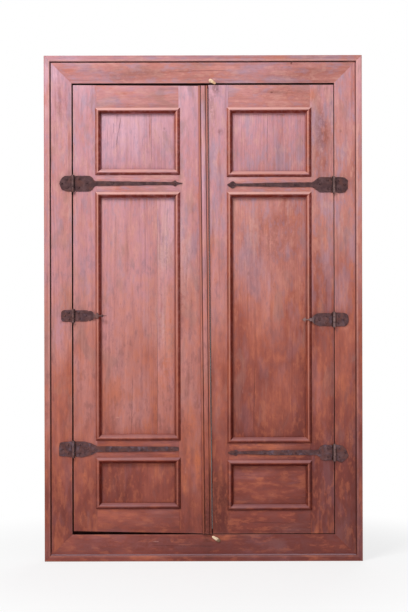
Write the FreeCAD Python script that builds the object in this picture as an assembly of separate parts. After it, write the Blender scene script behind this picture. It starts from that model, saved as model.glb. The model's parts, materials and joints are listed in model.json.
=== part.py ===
import FreeCAD, Part
import math
import os

# Two-leaf panelled door in a mitred frame, all lengths in millimetres.
# X runs across the door, Y from the front to the back, Z up.
# The origin is the centre of the sill's underside.

Vector = FreeCAD.Vector
AXIS_X = Vector(1, 0, 0)
AXIS_Y = Vector(0, 1, 0)
AXIS_Z = Vector(0, 0, 1)

# Frame
FRAME_WIDTH = 1050.0
FRAME_HEIGHT = 1670.0
FRAME_DEPTH = 45.0
JAMB_FACE = 91.0
HEAD_FACE = 91.0
SILL_FACE = 88.0
STOP_REACH = 12.0
STOP_CLEARANCE = 1.0

# Raised moulding planted along the outer edge of the frame, and the groove beside it
EDGE_WIDTH = 19.0
EDGE_PROUD = 6.0
EDGE_ARRIS = 1.2
EDGE_SLOPE = 3.0
EDGE_QUIRK_WIDTH = 4.0
EDGE_QUIRK_DEPTH = 4.0

# Pegs in the corner laps, two to a corner
PEG_RADIUS = 5.5
PEG_SIDES = 8
PEG_LENGTH = 30.0
PEG_SHARES = ((0.62, 0.24), (0.84, 0.56))

# Screw holes that fix the frame in the wall opening, two to a jamb
FIXING_RADIUS = 3.5
FIXING_HEAD_RADIUS = 7.0
FIXING_HEAD_DEPTH = 4.0
FIXING_HEAD_SIDES = 12
FIXING_SPACING = 1070.0

# Leaves
LEAF_THICKNESS = 28.0
LEFT_SIDE_GAP = 5.0
RIGHT_SIDE_GAP = 2.7
LEFT_TOP_GAP_HINGE = 6.0
LEFT_TOP_GAP_MEETING = 9.0
LEFT_BOTTOM_GAP_HINGE = 12.0
LEFT_BOTTOM_GAP_MEETING = 2.5
RIGHT_TOP_GAP = 6.5
RIGHT_BOTTOM_GAP = 2.5

# The joint between the leaves opens towards the back, and leans: its foot is further right
MEETING_GAP = 0.3
MEETING_BEVEL = 1.6
MEETING_LEAN = 12.0

# Stiles, rails and their joints. The middle panels take what height is left, and the meeting
# stiles are measured at mid height.
HINGE_STILE_WIDTH = 78.0
LEFT_MEETING_STILE_WIDTH = 71.0
RIGHT_MEETING_STILE_WIDTH = 61.5
LEFT_TOP_RAIL_WIDTH = 80.0
LEFT_TOP_PANEL_HEIGHT = 212.0
LEFT_UPPER_RAIL_WIDTH = 66.0
LEFT_LOWER_RAIL_WIDTH = 66.0
LEFT_BOTTOM_PANEL_HEIGHT = 160.0
LEFT_BOTTOM_RAIL_WIDTH = 87.0
RIGHT_TOP_RAIL_WIDTH = 79.0
RIGHT_TOP_PANEL_HEIGHT = 220.0
RIGHT_UPPER_RAIL_WIDTH = 59.0
RIGHT_LOWER_RAIL_WIDTH = 66.0
RIGHT_BOTTOM_PANEL_HEIGHT = 155.5
RIGHT_BOTTOM_RAIL_WIDTH = 81.5
TENON_LENGTH = 45.0
TENON_SHOULDER = 13.0
MORTISE_SPARE = 1.0

# Panels, held in grooves and bevelled on the back
PANEL_RECESS = 8.0
GROOVE_WIDTH = 8.0
GROOVE_DEPTH = 10.0
PANEL_SPARE = 1.0
PANEL_THICKNESS = 14.0
PANEL_BEVEL = 32.0
LEFT_INNER_BOARD_WIDTH = 71.5
BOARD_JOINT_GAP = 0.4

# Moulding round each panel, lapping over the stiles and rails
MOULDING_WIDTH = 20.0
MOULDING_LAP = 5.0
MOULDING_EDGE = 1.2
MOULDING_PROUD = 8.0
MOULDING_CREST = 9.3
MOULDING_SHOULDER = 5.0
MOULDING_SHOULDER_PROUD = 6.2
MOULDING_NOSE_END = 15.2
MOULDING_NOSE_DROP = 3.7
MOULDING_FIT = 0.2
MOULDING_FOOT = 3.2

# Closing post on the left leaf's meeting stile, its offset taken from the opening's middle
POST_WIDTH = 31.5
POST_OFFSET = 6.25
POST_PROUD = 7.5
POST_BEAD_RADIUS = 3.4
POST_QUIRK_WIDTH = 1.4
POST_QUIRK_DEPTH = 5.0
POST_SLOPE = 3.6
POST_SLOPE_DROP = 2.4
POST_TONGUE = 8.0

# Hinges: knuckles and pins are hammered to flats, the leaf's knuckle is bored round
STRAP_THICKNESS = 2.8
KNUCKLE_RADIUS = 6.0
KNUCKLE_SIDES = 10
KNUCKLE_RISE = 2.4
KNUCKLE_STANDOFF = 0.3
KNUCKLE_RELIEF = 0.6
KNUCKLE_END_GAP = 0.4
KNUCKLE_WEB_START = 1.5
PIN_RADIUS = 3.0
PIN_SIDES = 8
PIN_CLEARANCE = 0.05
PIN_END = 0.8
LEAF_KNUCKLE_SHARE = 0.4

# The long straps lap onto the meeting stile, the short ones pass the hinge stile by a finial.
# The rises of the bottom, middle and top hinge count from the middle of what they cross.
LEFT_TOP_PLATE_HEIGHT = 52.0
LEFT_TOP_FRAME_REACH = 46.0
LEFT_TOP_STRAP_LAP = 13.5
LEFT_MIDDLE_PLATE_HEIGHT = 40.0
LEFT_MIDDLE_FRAME_REACH = 41.0
LEFT_FINIAL_REACH = 34.0
LEFT_BOTTOM_PLATE_HEIGHT = 51.0
LEFT_BOTTOM_FRAME_REACH = 49.0
LEFT_BOTTOM_STRAP_LAP = -1.5
RIGHT_TOP_PLATE_HEIGHT = 50.0
RIGHT_TOP_FRAME_REACH = 49.0
RIGHT_TOP_STRAP_LAP = 3.5
RIGHT_MIDDLE_PLATE_HEIGHT = 46.0
RIGHT_MIDDLE_FRAME_REACH = 49.5
RIGHT_FINIAL_REACH = 28.0
RIGHT_BOTTOM_PLATE_HEIGHT = 52.0
RIGHT_BOTTOM_FRAME_REACH = 49.0
RIGHT_BOTTOM_STRAP_LAP = 3.5
LEFT_HINGE_RISES = (0.0, 1.75, 0.0)
RIGHT_HINGE_RISES = (-3.0, -7.0, -1.5)

# The short hinges' finials are bent up to pass over the panel moulding
FINIAL_CLEARANCE = 0.3
FINIAL_BEAD_RADIUS = 5.4
FINIAL_BEAD_CROWN = 2.6
FINIAL_BEAD_RISE = 2.2
FINIAL_BEAD_SIDES = 8
FINIAL_BEAD_SHARE = 0.85
FINIAL_BEND_LENGTH = 12.0

# Outlines of the straps, upper half, from the knuckle to the tip. Along the hinge a share is
# of the strap's reach, across it of half the plate's height. Four numbers make an arc: a
# point that it passes and its end.
LEFT_TOP_STRAP_SHARES = (
    (0.137, 1.0), (0.168, 0.85, 0.189, 0.47), (0.199, 0.36, 0.2135, 0.317), (0.892, 0.185),
    (0.914, 0.26, 0.931, 0.41), (0.944, 0.24, 0.969, 0.12), (1.0, 0.03))
LEFT_MIDDLE_STRAP_SHARES = (
    (0.40, 0.92), (0.446, 0.78), (0.495, 0.84), (0.545, 0.74), (0.595, 0.56), (0.62, 0.30),
    (0.66, 0.24), (0.685, 0.46), (0.71, 0.52), (0.735, 0.40), (0.77, 0.10), (0.90, 0.09),
    (1.0, 0.03))
LEFT_BOTTOM_STRAP_SHARES = (
    (0.10, 1.0), (0.165, 0.80), (0.222, 0.39), (0.55, 0.35), (0.965, 0.30), (1.0, 0.22))
RIGHT_TOP_STRAP_SHARES = (
    (0.135, 1.0), (0.178, 0.55), (0.2, 0.33), (0.484, 0.30), (0.893, 0.18),
    (0.92, 0.22, 0.938, 0.46), (0.955, 0.48), (1.0, 0.06))
RIGHT_MIDDLE_STRAP_SHARES = (
    (0.455, 0.92), (0.53, 0.86), (0.62, 0.62), (0.69, 0.22), (0.74, 0.26), (0.79, 0.08),
    (0.875, 0.08),
    (0.895, 0.36), (0.93, 0.24), (1.0, 0.03))
RIGHT_BOTTOM_STRAP_SHARES = (
    (0.064, 0.97), (0.105, 0.97, 0.13, 0.80), (0.15, 0.42, 0.186, 0.33), (0.605, 0.31),
    (0.623, 0.24), (0.641, 0.29), (0.902, 0.165), (0.914, 0.36), (0.932, 0.37),
    (0.94, 0.30), (0.975, 0.24), (1.0, 0.04))

# Outlines of the frame plates, from the knuckle's upper edge round to the lower one. Shares are
# of the frame reach and of half the plate's height.
LEFT_TOP_PLATE_SHARES = ((0.60, 0.97), (0.80, 0.74), (0.95, 0.29), (1.0, 0.0), (0.92, -0.36),
                         (0.82, -0.76), (0.45, -1.0))
LEFT_MIDDLE_PLATE_SHARES = ((0.80, 0.96), (0.97, 0.70), (1.0, 0.0), (0.98, -0.70), (0.86, -0.94))
LEFT_BOTTOM_PLATE_SHARES = ((0.70, 0.95), (0.92, 0.84), (1.0, 0.20), (0.98, -0.86), (0.6, -0.93))
RIGHT_TOP_PLATE_SHARES = ((0.45, 1.0), (0.76, 0.94), (0.98, 0.56), (0.94, 0.16), (0.96, -0.50),
                          (0.78, -1.0), (0.50, -1.13), (0.28, -1.1))
RIGHT_MIDDLE_PLATE_SHARES = ((0.60, 0.98), (0.85, 0.84), (0.97, 0.52), (1.0, 0.0),
                             (0.98, -0.42), (0.88, -0.80), (0.72, -1.0))
RIGHT_BOTTOM_PLATE_SHARES = ((0.56, 0.90), (0.70, 0.62), (0.84, 0.26), (0.98, -0.38),
                             (0.92, -0.66), (0.70, -0.98), (0.54, -1.24), (0.34, -1.20))

# Nails: square tapering shanks under faceted rose heads
NAIL_SHANK = 3.2
NAIL_POINT = 1.4
NAIL_REACH = 22.0
NAIL_HEAD_RADIUS = 4.6
NAIL_CROWN_RADIUS = 2.0
NAIL_HEAD_HEIGHT = 2.2
NAIL_SIDES = 5
# Near the knuckle both shares are of half the plate's height, along the strap of its reach.
FRAME_NAIL_SHARES = ((0.75, 0.52), (0.72, -0.54), (1.45, 0.0))
PLATE_NAIL_SHARES = ((0.78, 0.55), (0.74, -0.52), (1.78, 0.06))
STRAP_NAIL_SHARES = (0.36, 0.65, 0.932)
SHORT_PLATE_NAIL_SHARES = ((0.95, 0.48), (1.05, -0.46), (2.1, 0.0))

# Turn buttons, their offsets taken from the opening's middle
BUTTON_THICKNESS = 3.4
BUTTON_STANDOFF = 0.4
BUTTON_BOSS_RADIUS = 6.2
BUTTON_BOSS_SIDES = 7
BUTTON_TIP_RADIUS = 4.2
BUTTON_TIP_SIDES = 5
BUTTON_EDGE_SLOPE = 1.1
TOP_BUTTON_REACH = 20.5
TOP_BUTTON_OFFSET = 25.5
TOP_BUTTON_ABOVE_OPENING = 8.0
TOP_BUTTON_TURN = 58.0
BOTTOM_BUTTON_REACH = 25.5
BOTTOM_BUTTON_OFFSET = 49.0
BOTTOM_BUTTON_BELOW_OPENING = 19.5
BOTTOM_BUTTON_TURN = 58.0
SCREW_RADIUS = 2.0
SCREW_CLEARANCE = 0.08
SCREW_HEAD_RADIUS = 3.8
SCREW_HEAD_HEIGHT = 2.0
SCREW_HEAD_SIDES = 12
SCREW_CROWN_RADIUS = 2.6
SCREW_LENGTH = 24.0

# How far a cutting tool runs past what it cuts
OVERRUN = 5.0

# Places worked out from the sizes above
HALF_WIDTH = FRAME_WIDTH / 2
FACE_Y = -FRAME_DEPTH / 2
BACK_Y = FRAME_DEPTH / 2
LEAF_BACK_Y = FACE_Y + LEAF_THICKNESS
STOP_Y = LEAF_BACK_Y + STOP_CLEARANCE
OPENING_LEFT = -HALF_WIDTH + JAMB_FACE
OPENING_RIGHT = HALF_WIDTH - JAMB_FACE
OPENING_MIDDLE = (OPENING_LEFT + OPENING_RIGHT) / 2
OPENING_BOTTOM = SILL_FACE
OPENING_TOP = FRAME_HEIGHT - HEAD_FACE
MEETING_PIVOT = Vector(0, 0, (OPENING_BOTTOM + OPENING_TOP) / 2)
MEETING_ANGLE = math.atan(MEETING_LEAN / (OPENING_TOP - OPENING_BOTTOM))
LEFT_LEAF_START = OPENING_LEFT + LEFT_SIDE_GAP
LEFT_LEAF_END = OPENING_MIDDLE + POST_WIDTH / 2 + POST_OFFSET
POST_START = LEFT_LEAF_END - POST_WIDTH
LEFT_MEETING_EDGE = POST_START - LEFT_MEETING_STILE_WIDTH
RIGHT_LEAF_START = LEFT_LEAF_END + MEETING_GAP
RIGHT_MEETING_EDGE = RIGHT_LEAF_START + RIGHT_MEETING_STILE_WIDTH
RIGHT_LEAF_END = OPENING_RIGHT - RIGHT_SIDE_GAP
LEFT_RAIL_SPAN = LEFT_MEETING_EDGE - LEFT_LEAF_START
RIGHT_RAIL_SPAN = RIGHT_LEAF_END - RIGHT_MEETING_EDGE
LEFT_LEAF_TOP = OPENING_TOP - min(LEFT_TOP_GAP_HINGE, LEFT_TOP_GAP_MEETING)
LEFT_LEAF_BOTTOM = OPENING_BOTTOM + min(LEFT_BOTTOM_GAP_HINGE, LEFT_BOTTOM_GAP_MEETING)
RIGHT_LEAF_TOP = OPENING_TOP - RIGHT_TOP_GAP
RIGHT_LEAF_BOTTOM = OPENING_BOTTOM + RIGHT_BOTTOM_GAP
GROOVE_Y = FACE_Y + PANEL_RECESS
PIN_Y = FACE_Y - KNUCKLE_STANDOFF - KNUCKLE_RADIUS
PLATE_START = KNUCKLE_RADIUS + KNUCKLE_RELIEF


def box(x0, x1, y0, y1, z0, z1):
    """A box between two corners."""
    return Part.makeBox(x1 - x0, y1 - y0, z1 - z0, Vector(x0, y0, z0))


def wire(points, place):
    """A closed wire through points. Two numbers end a line, four an arc and its end."""
    edges = []
    start = place(*points[0][-2:])
    for point in list(points[1:]) + [points[0][-2:]]:
        end = place(*point[-2:])
        if start.distanceToPoint(end) > 0:
            if len(point) == 4:
                edges.append(Part.Arc(start, place(*point[:2]), end).toShape())
            else:
                edges.append(Part.LineSegment(start, end).toShape())
        start = end
    return Part.Wire(edges)


def upright(points, y0, y1):
    """A prism with its outline in the X-Z plane, from y0 back to y1."""
    face = Part.Face(wire(points, lambda x, z: Vector(x, y0, z)))
    return face.extrude(Vector(0, y1 - y0, 0))


def rectangle(x0, x1, z0, z1, y):
    """Corner points of a rectangle in the X-Z plane."""
    return [Vector(x0, y, z0), Vector(x1, y, z0), Vector(x1, y, z1), Vector(x0, y, z1)]


def frustum(lower, upper):
    """A solid between two like polygons."""
    faces = [Part.Face(Part.makePolygon(ring + ring[:1])) for ring in (lower, upper)]
    for i in range(len(lower)):
        j = (i + 1) % len(lower)
        side = [lower[i], lower[j], upper[j], upper[i], lower[i]]
        faces.append(Part.Face(Part.makePolygon(side)))
    solid = Part.Solid(Part.Shell(faces))
    if solid.Volume < 0:
        solid.reverse()
    return solid


def polygon(sides, radius, centre, axis):
    """Corner points of a ring about an axis that runs along X, Y or Z."""
    across = AXIS_X if abs(axis.z) > 0 else AXIS_Z
    up = across.cross(axis)
    ring = []
    for i in range(sides):
        angle = 2 * math.pi * (i + 0.5) / sides
        ring.append(centre + (across * math.cos(angle) + up * math.sin(angle)) * radius)
    return ring


def polygon_bar(sides, radius, start, axis, length):
    """A straight bar with flats."""
    ring = polygon(sides, radius, start, axis)
    return Part.Face(Part.makePolygon(ring + ring[:1])).extrude(axis * length)


def polygon_taper(sides, start, radius, axis, length, end_radius):
    """A bar with flats that runs from one radius to another."""
    return frustum(polygon(sides, radius, start, axis),
                   polygon(sides, end_radius, start + axis * length, axis))


def cut_all(solid, tools):
    """The solid less every tool that comes near it."""
    near = [tool for tool in tools if solid.BoundBox.intersect(tool.BoundBox)]
    return solid.cut(near) if near else solid


def merge(solids):
    """Several touching solids made one."""
    return solids[0].fuse(solids[1:]).removeSplitter()


def mirrored_half(half):
    """A closed outline from its upper half, which starts at the knuckle and ends at the tip."""
    lower = []
    for here, before in zip(reversed(half), reversed(half[:-1])):
        bend = (here[0], -here[1]) if len(here) == 4 else ()
        lower.append(bend + (before[-2], -before[-1]))
    tip = half[-1][-2:]
    return list(half) + [(tip[0], -tip[1])] + lower


# Frame members
def frame_members():
    """Head, sill and jambs: mitred to the stop's depth, the jambs lapped full height behind."""
    outer = ((-HALF_WIDTH, 0), (HALF_WIDTH, 0),
             (HALF_WIDTH, FRAME_HEIGHT), (-HALF_WIDTH, FRAME_HEIGHT))
    inner = ((OPENING_LEFT, OPENING_BOTTOM), (OPENING_RIGHT, OPENING_BOTTOM),
             (OPENING_RIGHT, OPENING_TOP), (OPENING_LEFT, OPENING_TOP))
    stop_left = OPENING_LEFT + STOP_REACH
    stop_right = OPENING_RIGHT - STOP_REACH
    laps = {
        "frame_sill": (stop_left, stop_right, 0, OPENING_BOTTOM + STOP_REACH),
        "frame_right_jamb": (stop_right, HALF_WIDTH, 0, FRAME_HEIGHT),
        "frame_head": (stop_left, stop_right, OPENING_TOP - STOP_REACH, FRAME_HEIGHT),
        "frame_left_jamb": (-HALF_WIDTH, stop_left, 0, FRAME_HEIGHT),
    }
    quirk = edge_quirk()
    members = {}
    for side, (name, (x0, x1, z0, z1)) in enumerate(laps.items()):
        after = (side + 1) % len(outer)
        front = upright((outer[side], outer[after], inner[after], inner[side]), FACE_Y, STOP_Y)
        members[name] = merge([front, box(x0, x1, STOP_Y, BACK_Y, z0, z1)]).cut(quirk)
    return members


def edge_quirk():
    """The groove that runs round the frame's face beside the edge moulding."""
    tools = []
    for inset in (EDGE_WIDTH, EDGE_WIDTH + EDGE_QUIRK_WIDTH):
        tools.append(box(-HALF_WIDTH + inset, HALF_WIDTH - inset, FACE_Y - OVERRUN,
                         FACE_Y + EDGE_QUIRK_DEPTH, inset, FRAME_HEIGHT - inset))
    return tools[0].cut(tools[1])


def frame_pegs():
    """Pegs from the back through the jambs' laps into the head and the sill."""
    pegs = []
    for side in (-1, 1):
        for edge_z, inward, face in ((0, 1, SILL_FACE), (FRAME_HEIGHT, -1, HEAD_FACE)):
            for across_share, up_share in PEG_SHARES:
                x = side * (HALF_WIDTH - across_share * JAMB_FACE)
                z = edge_z + inward * up_share * face
                pegs.append(polygon_bar(PEG_SIDES, PEG_RADIUS, Vector(x, BACK_Y, z),
                                        -AXIS_Y, PEG_LENGTH))
    return pegs


def fixing_holes():
    """Screw holes through the jambs, with their countersinks hidden by the closed leaves."""
    holes = []
    y = FACE_Y + LEAF_THICKNESS / 2
    for side in (-1, 1):
        outward = AXIS_X * side
        for step in (-1, 1):
            z = FRAME_HEIGHT / 2 + step * FIXING_SPACING / 2
            start = Vector(side * (HALF_WIDTH - JAMB_FACE), y, z)
            holes.append(Part.makeCylinder(FIXING_RADIUS, JAMB_FACE, start, outward))
            holes.append(polygon_taper(FIXING_HEAD_SIDES, start, FIXING_HEAD_RADIUS, outward,
                                       FIXING_HEAD_DEPTH, FIXING_RADIUS))
    return holes


# Mitred mouldings
def mitred_strips(x0, x1, z0, z1, profile, width):
    """Four strips round a rectangle: left, right, bottom and top."""
    left = Part.Face(wire(profile, lambda s, h: Vector(x0 + s, FACE_Y - h, z0)))
    right = Part.Face(wire(profile, lambda s, h: Vector(x1 - s, FACE_Y - h, z0)))
    bottom = Part.Face(wire(profile, lambda s, h: Vector(x0, FACE_Y - h, z0 + s)))
    top = Part.Face(wire(profile, lambda s, h: Vector(x0, FACE_Y - h, z1 - s)))
    rise = Vector(0, 0, z1 - z0)
    run = Vector(x1 - x0, 0, 0)
    a, b, c, d = (x0, z0), (x1, z0), (x1, z1), (x0, z1)
    inner_a = (x0 + width, z0 + width)
    inner_b = (x1 - width, z0 + width)
    inner_c = (x1 - width, z1 - width)
    inner_d = (x0 + width, z1 - width)
    sides = (
        (left.extrude(rise), (a, inner_a, inner_d, d)),
        (right.extrude(rise), (b, inner_b, inner_c, c)),
        (bottom.extrude(run), (a, b, inner_b, inner_a)),
        (top.extrude(run), (d, c, inner_c, inner_d)),
    )
    proud_y = FACE_Y - max(h for row in profile for h in row[1::2]) - OVERRUN
    return [strip.common(upright(plan, proud_y, BACK_Y)) for strip, plan in sides]


def edge_profile():
    """Section of the frame's edge moulding, from the outer edge inwards."""
    flat_end = EDGE_WIDTH - EDGE_SLOPE
    foot = EDGE_PROUD - EDGE_SLOPE
    lean = EDGE_SLOPE * math.sqrt(0.5)
    return ((0, 0), (0, EDGE_PROUD - EDGE_ARRIS), (EDGE_ARRIS, EDGE_PROUD),
            (flat_end, EDGE_PROUD), (flat_end + lean, foot + lean, EDGE_WIDTH, foot),
            (EDGE_WIDTH, 0))


def moulding_profile():
    """Section of the panel moulding: a round nose that slopes down to the panel."""
    seat = MOULDING_LAP + MOULDING_FIT
    foot = MOULDING_FOOT - PANEL_RECESS
    return ((0, 0), (0, MOULDING_EDGE), (MOULDING_SHOULDER, MOULDING_SHOULDER_PROUD),
            (MOULDING_CREST, MOULDING_PROUD, MOULDING_NOSE_END, MOULDING_NOSE_DROP),
            (MOULDING_WIDTH, foot), (MOULDING_WIDTH, -PANEL_RECESS), (seat, -PANEL_RECESS),
            (seat, 0))


# Leaves
def leaning(x, z):
    """Where an edge that leans with the joint between the leaves, at x half way up, is at z."""
    return x / math.cos(MEETING_ANGLE) - (z - MEETING_PIVOT.z) * math.tan(MEETING_ANGLE)


def plan_rectangle(x0, x1, y0, y1):
    """A rectangular plan section."""
    return ((x0, y0), (x1, y0), (x1, y1), (x0, y1))


def along_joint(section):
    """A plan section carried up the joint between the leaves and past both its ends."""
    low = OPENING_BOTTOM - OVERRUN
    face = Part.Face(wire(section, lambda x, y: Vector(x, y, low)))
    bar = face.extrude(AXIS_Z * (OPENING_TOP + OVERRUN - low))
    bar.rotate(MEETING_PIVOT, -AXIS_Y, math.degrees(MEETING_ANGLE))
    return bar


def tenon(x0, x1, z0, z1):
    """A tenon in line with the panel groove, set in from the rail's edges."""
    return box(x0, x1, GROOVE_Y, GROOVE_Y + GROOVE_WIDTH, z0 + TENON_SHOULDER,
               z1 - TENON_SHOULDER)


def panel(x0, x1, z0, z1):
    """A panel with a flat front and a bevelled back, its edges in the grooves."""
    reach = GROOVE_DEPTH - PANEL_SPARE
    ex0, ex1, ez0, ez1 = x0 - reach, x1 + reach, z0 - reach, z1 + reach
    edge_y = GROOVE_Y + GROOVE_WIDTH
    field_y = GROOVE_Y + PANEL_THICKNESS
    tongue = box(ex0, ex1, GROOVE_Y, edge_y, ez0, ez1)
    foot = rectangle(x0 + MOULDING_FIT, x1 - MOULDING_FIT, z0 + MOULDING_FIT,
                     z1 - MOULDING_FIT, edge_y)
    field = rectangle(x0 + PANEL_BEVEL, x1 - PANEL_BEVEL, z0 + PANEL_BEVEL, z1 - PANEL_BEVEL,
                      field_y)
    return merge([tongue, frustum(foot, field)])


def post_profile(x0):
    """Plan section of the closing post, from its tongue round the beaded front."""
    r = POST_BEAD_RADIUS
    bead_y = FACE_Y - POST_PROUD + r
    quirk_y = FACE_Y - POST_PROUD + POST_QUIRK_DEPTH
    front_y = FACE_Y - POST_PROUD
    step = 2 * r + POST_QUIRK_WIDTH
    slope_y = front_y + POST_SLOPE_DROP
    x1 = x0 + POST_WIDTH
    tongue_y = GROOVE_Y
    return ((x0, FACE_Y), (x0, bead_y), (x0 + r, front_y, x0 + 2 * r, bead_y),
            (x0 + 2 * r, quirk_y), (x0 + step, quirk_y), (x0 + step, slope_y),
            (x0 + step + POST_SLOPE, front_y), (x1 - step - POST_SLOPE, front_y),
            (x1 - step, slope_y), (x1 - step, quirk_y), (x1 - 2 * r, quirk_y),
            (x1 - 2 * r, bead_y), (x1 - r, front_y, x1, bead_y), (x1, FACE_Y),
            (x1 - MEETING_BEVEL, LEAF_BACK_Y), (x0, LEAF_BACK_Y),
            (x0, tongue_y + GROOVE_WIDTH), (x0 - POST_TONGUE, tongue_y + GROOVE_WIDTH),
            (x0 - POST_TONGUE, tongue_y), (x0, tongue_y))


def leaf_pieces(side, outline, inner0, inner1, rails, nails, joint_sections):
    """Stiles, rails, panels and mouldings of one leaf, each a solid or a list of them.

    The joint sections are cut from the edge of its meeting stile.
    """
    xs = [corner[0] for corner in outline]
    leaf_x0, leaf_x1 = min(xs), max(xs)
    leaf_z0, leaf_z1 = rails[0][0], rails[-1][1]
    trim = upright(outline, FACE_Y - OVERRUN, LEAF_BACK_Y)
    spans = dict(zip(("bottom_rail", "lower_rail", "upper_rail", "top_rail"), rails))
    bays = {}
    for name, below, above in zip(("bottom", "middle", "top"), rails, rails[1:]):
        bays[name] = (below[1], above[0])
    grooves = [box(inner0 - GROOVE_DEPTH, inner1 + GROOVE_DEPTH, GROOVE_Y,
                   GROOVE_Y + GROOVE_WIDTH, z0 - GROOVE_DEPTH, z1 + GROOVE_DEPTH)
               for z0, z1 in bays.values()]
    pieces = {}
    mortises = []
    for name, (z0, z1) in spans.items():
        body = box(inner0, inner1, FACE_Y, LEAF_BACK_Y, z0, z1)
        ends = tenon(inner0 - TENON_LENGTH, inner1 + TENON_LENGTH, z0, z1)
        reach = TENON_LENGTH + MORTISE_SPARE
        mortises.append(tenon(inner0 - reach, inner1 + reach, z0, z1))
        rail = cut_all(merge([body, ends]), grooves)
        pieces[f"{side}_{name}"] = cut_all(rail.common(trim), nails)
    stiles = {"left": ("hinge_stile", "meeting_stile"), "right": ("meeting_stile", "hinge_stile")}
    joint_cuts = [along_joint(section) for section in joint_sections]
    extents = ((leaf_x0, inner0), (inner1, leaf_x1))
    for name, (x0, x1) in zip(stiles[side], extents):
        stile = box(x0, x1, FACE_Y, LEAF_BACK_Y, leaf_z0, leaf_z1)
        stile = cut_all(stile, mortises + grooves + joint_cuts)
        pieces[f"{side}_{name}"] = cut_all(stile.common(trim), nails)
    for name, (z0, z1) in bays.items():
        pieces[f"{side}_{name}_panel"] = panel(inner0, inner1, z0, z1)
        pieces[f"{side}_{name}_moulding"] = mitred_strips(
            inner0 - MOULDING_LAP, inner1 + MOULDING_LAP, z0 - MOULDING_LAP,
            z1 + MOULDING_LAP, moulding_profile(), MOULDING_WIDTH)
    return pieces


# Hinges
class Hinge:
    """One strap hinge. Distances run from its pin: u towards the leaf, w upwards."""

    def __init__(self, pin_x, leafward, height, plate_height, frame_reach, strap_reach):
        self.pin_x = pin_x
        self.leafward = leafward
        self.height = height
        self.half = plate_height / 2
        self.frame_reach = frame_reach
        self.strap_reach = strap_reach

    def place(self, u, w):
        """X and Z of a point of the outline."""
        return (self.pin_x + self.leafward * u, self.height + w)

    def outline(self, points):
        """Outline points in X and Z, arcs kept."""
        placed = []
        for point in points:
            row = ()
            for i in range(0, len(point), 2):
                row = row + self.place(point[i], point[i + 1])
            placed.append(row)
        return placed

    def nail_places(self, shares, towards, along=()):
        """X and Z of nails given as shares of half the plate, and along the strap's reach."""
        plate = [self.place(towards * u * self.half, w * self.half) for u, w in shares]
        return plate + [self.place(u * self.strap_reach, 0) for u in along]

    def knuckle(self, w0, w1, towards):
        """A rolled knuckle with the web that joins it to its plate."""
        z0, z1 = self.height + w0, self.height + w1
        eye = polygon_bar(KNUCKLE_SIDES, KNUCKLE_RADIUS, Vector(self.pin_x, PIN_Y, z0), AXIS_Z,
                          z1 - z0)
        side = self.leafward * towards
        near = self.pin_x + side * KNUCKLE_WEB_START
        far = self.pin_x + side * PLATE_START
        low, high = max(z0, self.height - self.half), min(z1, self.height + self.half)
        web = box(min(near, far), max(near, far), FACE_Y - STRAP_THICKNESS, FACE_Y, low, high)
        return [eye, web]

    def running_bore(self):
        """The round hole in the leaf's knuckle, which turns on the pin."""
        low = self.height - self.half
        return Part.makeCylinder(PIN_RADIUS + PIN_CLEARANCE, 2 * self.half,
                                 Vector(self.pin_x, PIN_Y, low))

    def frame_plate(self, shares):
        """The plate on the jamb with its upper and lower knuckles."""
        points = [(-PLATE_START, self.half)]
        for share in shares:
            row = ()
            for i in range(0, len(share), 2):
                row = row + (-share[i] * self.frame_reach, share[i + 1] * self.half)
            points.append(row)
        points.append((-PLATE_START, -self.half))
        plate = upright(self.outline(points), FACE_Y - STRAP_THICKNESS, FACE_Y)
        inner = self.half * LEAF_KNUCKLE_SHARE + KNUCKLE_END_GAP
        outer = self.half + KNUCKLE_RISE
        knuckles = self.knuckle(inner, outer, -1) + self.knuckle(-outer, -inner, -1)
        return merge([plate] + knuckles).cut(self.pin())

    def strap(self, shares, finial=None):
        """The strap on the leaf with its middle knuckle, bent up under a finial if it has one."""
        half = [(PLATE_START, self.half * shares[0][1])]
        for share in shares:
            row = ()
            for i in range(0, len(share), 2):
                row = row + (share[i] * self.strap_reach, share[i + 1] * self.half)
            half.append(row)
        points = self.outline(mirrored_half(half))
        if finial is None:
            blade = upright(points, FACE_Y - STRAP_THICKNESS, FACE_Y)
        else:
            lift = MOULDING_PROUD + FINIAL_CLEARANCE
            prism = upright(points, FACE_Y - lift - STRAP_THICKNESS - OVERRUN, FACE_Y)
            blade = prism.common(self.bent_sheet(lift))
        inner = self.half * LEAF_KNUCKLE_SHARE
        parts = [blade] + self.knuckle(-inner, inner, 1)
        if finial == "bead":
            x, z = self.place(FINIAL_BEAD_SHARE * self.strap_reach, 0)
            parts += self.bead(x, FACE_Y - lift, z)
        return merge(parts).cut(self.running_bore())

    def bent_sheet(self, lift):
        """A sheet as thick as the strap that steps up over the moulding."""
        end = HINGE_STILE_WIDTH - MOULDING_LAP - FINIAL_CLEARANCE
        start = end - FINIAL_BEND_LENGTH
        tip = self.strap_reach + OVERRUN
        low = ((PLATE_START, 0), (start, 0), (end, lift), (tip, lift))
        high = tuple((u, v + STRAP_THICKNESS) for u, v in reversed(low))
        side = Part.Face(wire(low + high, lambda u, v: Vector(
            self.pin_x + self.leafward * u, FACE_Y - v, self.height - self.half)))
        return side.extrude(Vector(0, 0, 2 * self.half))

    def bead(self, x, y, z):
        """A faceted bead that swells from both faces of the finial."""
        middle = Vector(x, y - STRAP_THICKNESS / 2, z)
        length = STRAP_THICKNESS / 2 + FINIAL_BEAD_RISE
        return [polygon_taper(FINIAL_BEAD_SIDES, middle, FINIAL_BEAD_RADIUS, AXIS_Y * way, length,
                              FINIAL_BEAD_CROWN) for way in (-1, 1)]

    def pin(self):
        """The hinge pin, held in the frame's knuckles and a little proud of them."""
        end = self.half + KNUCKLE_RISE + PIN_END
        return polygon_bar(PIN_SIDES, PIN_RADIUS, Vector(self.pin_x, PIN_Y, self.height - end),
                           AXIS_Z, 2 * end)


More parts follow.
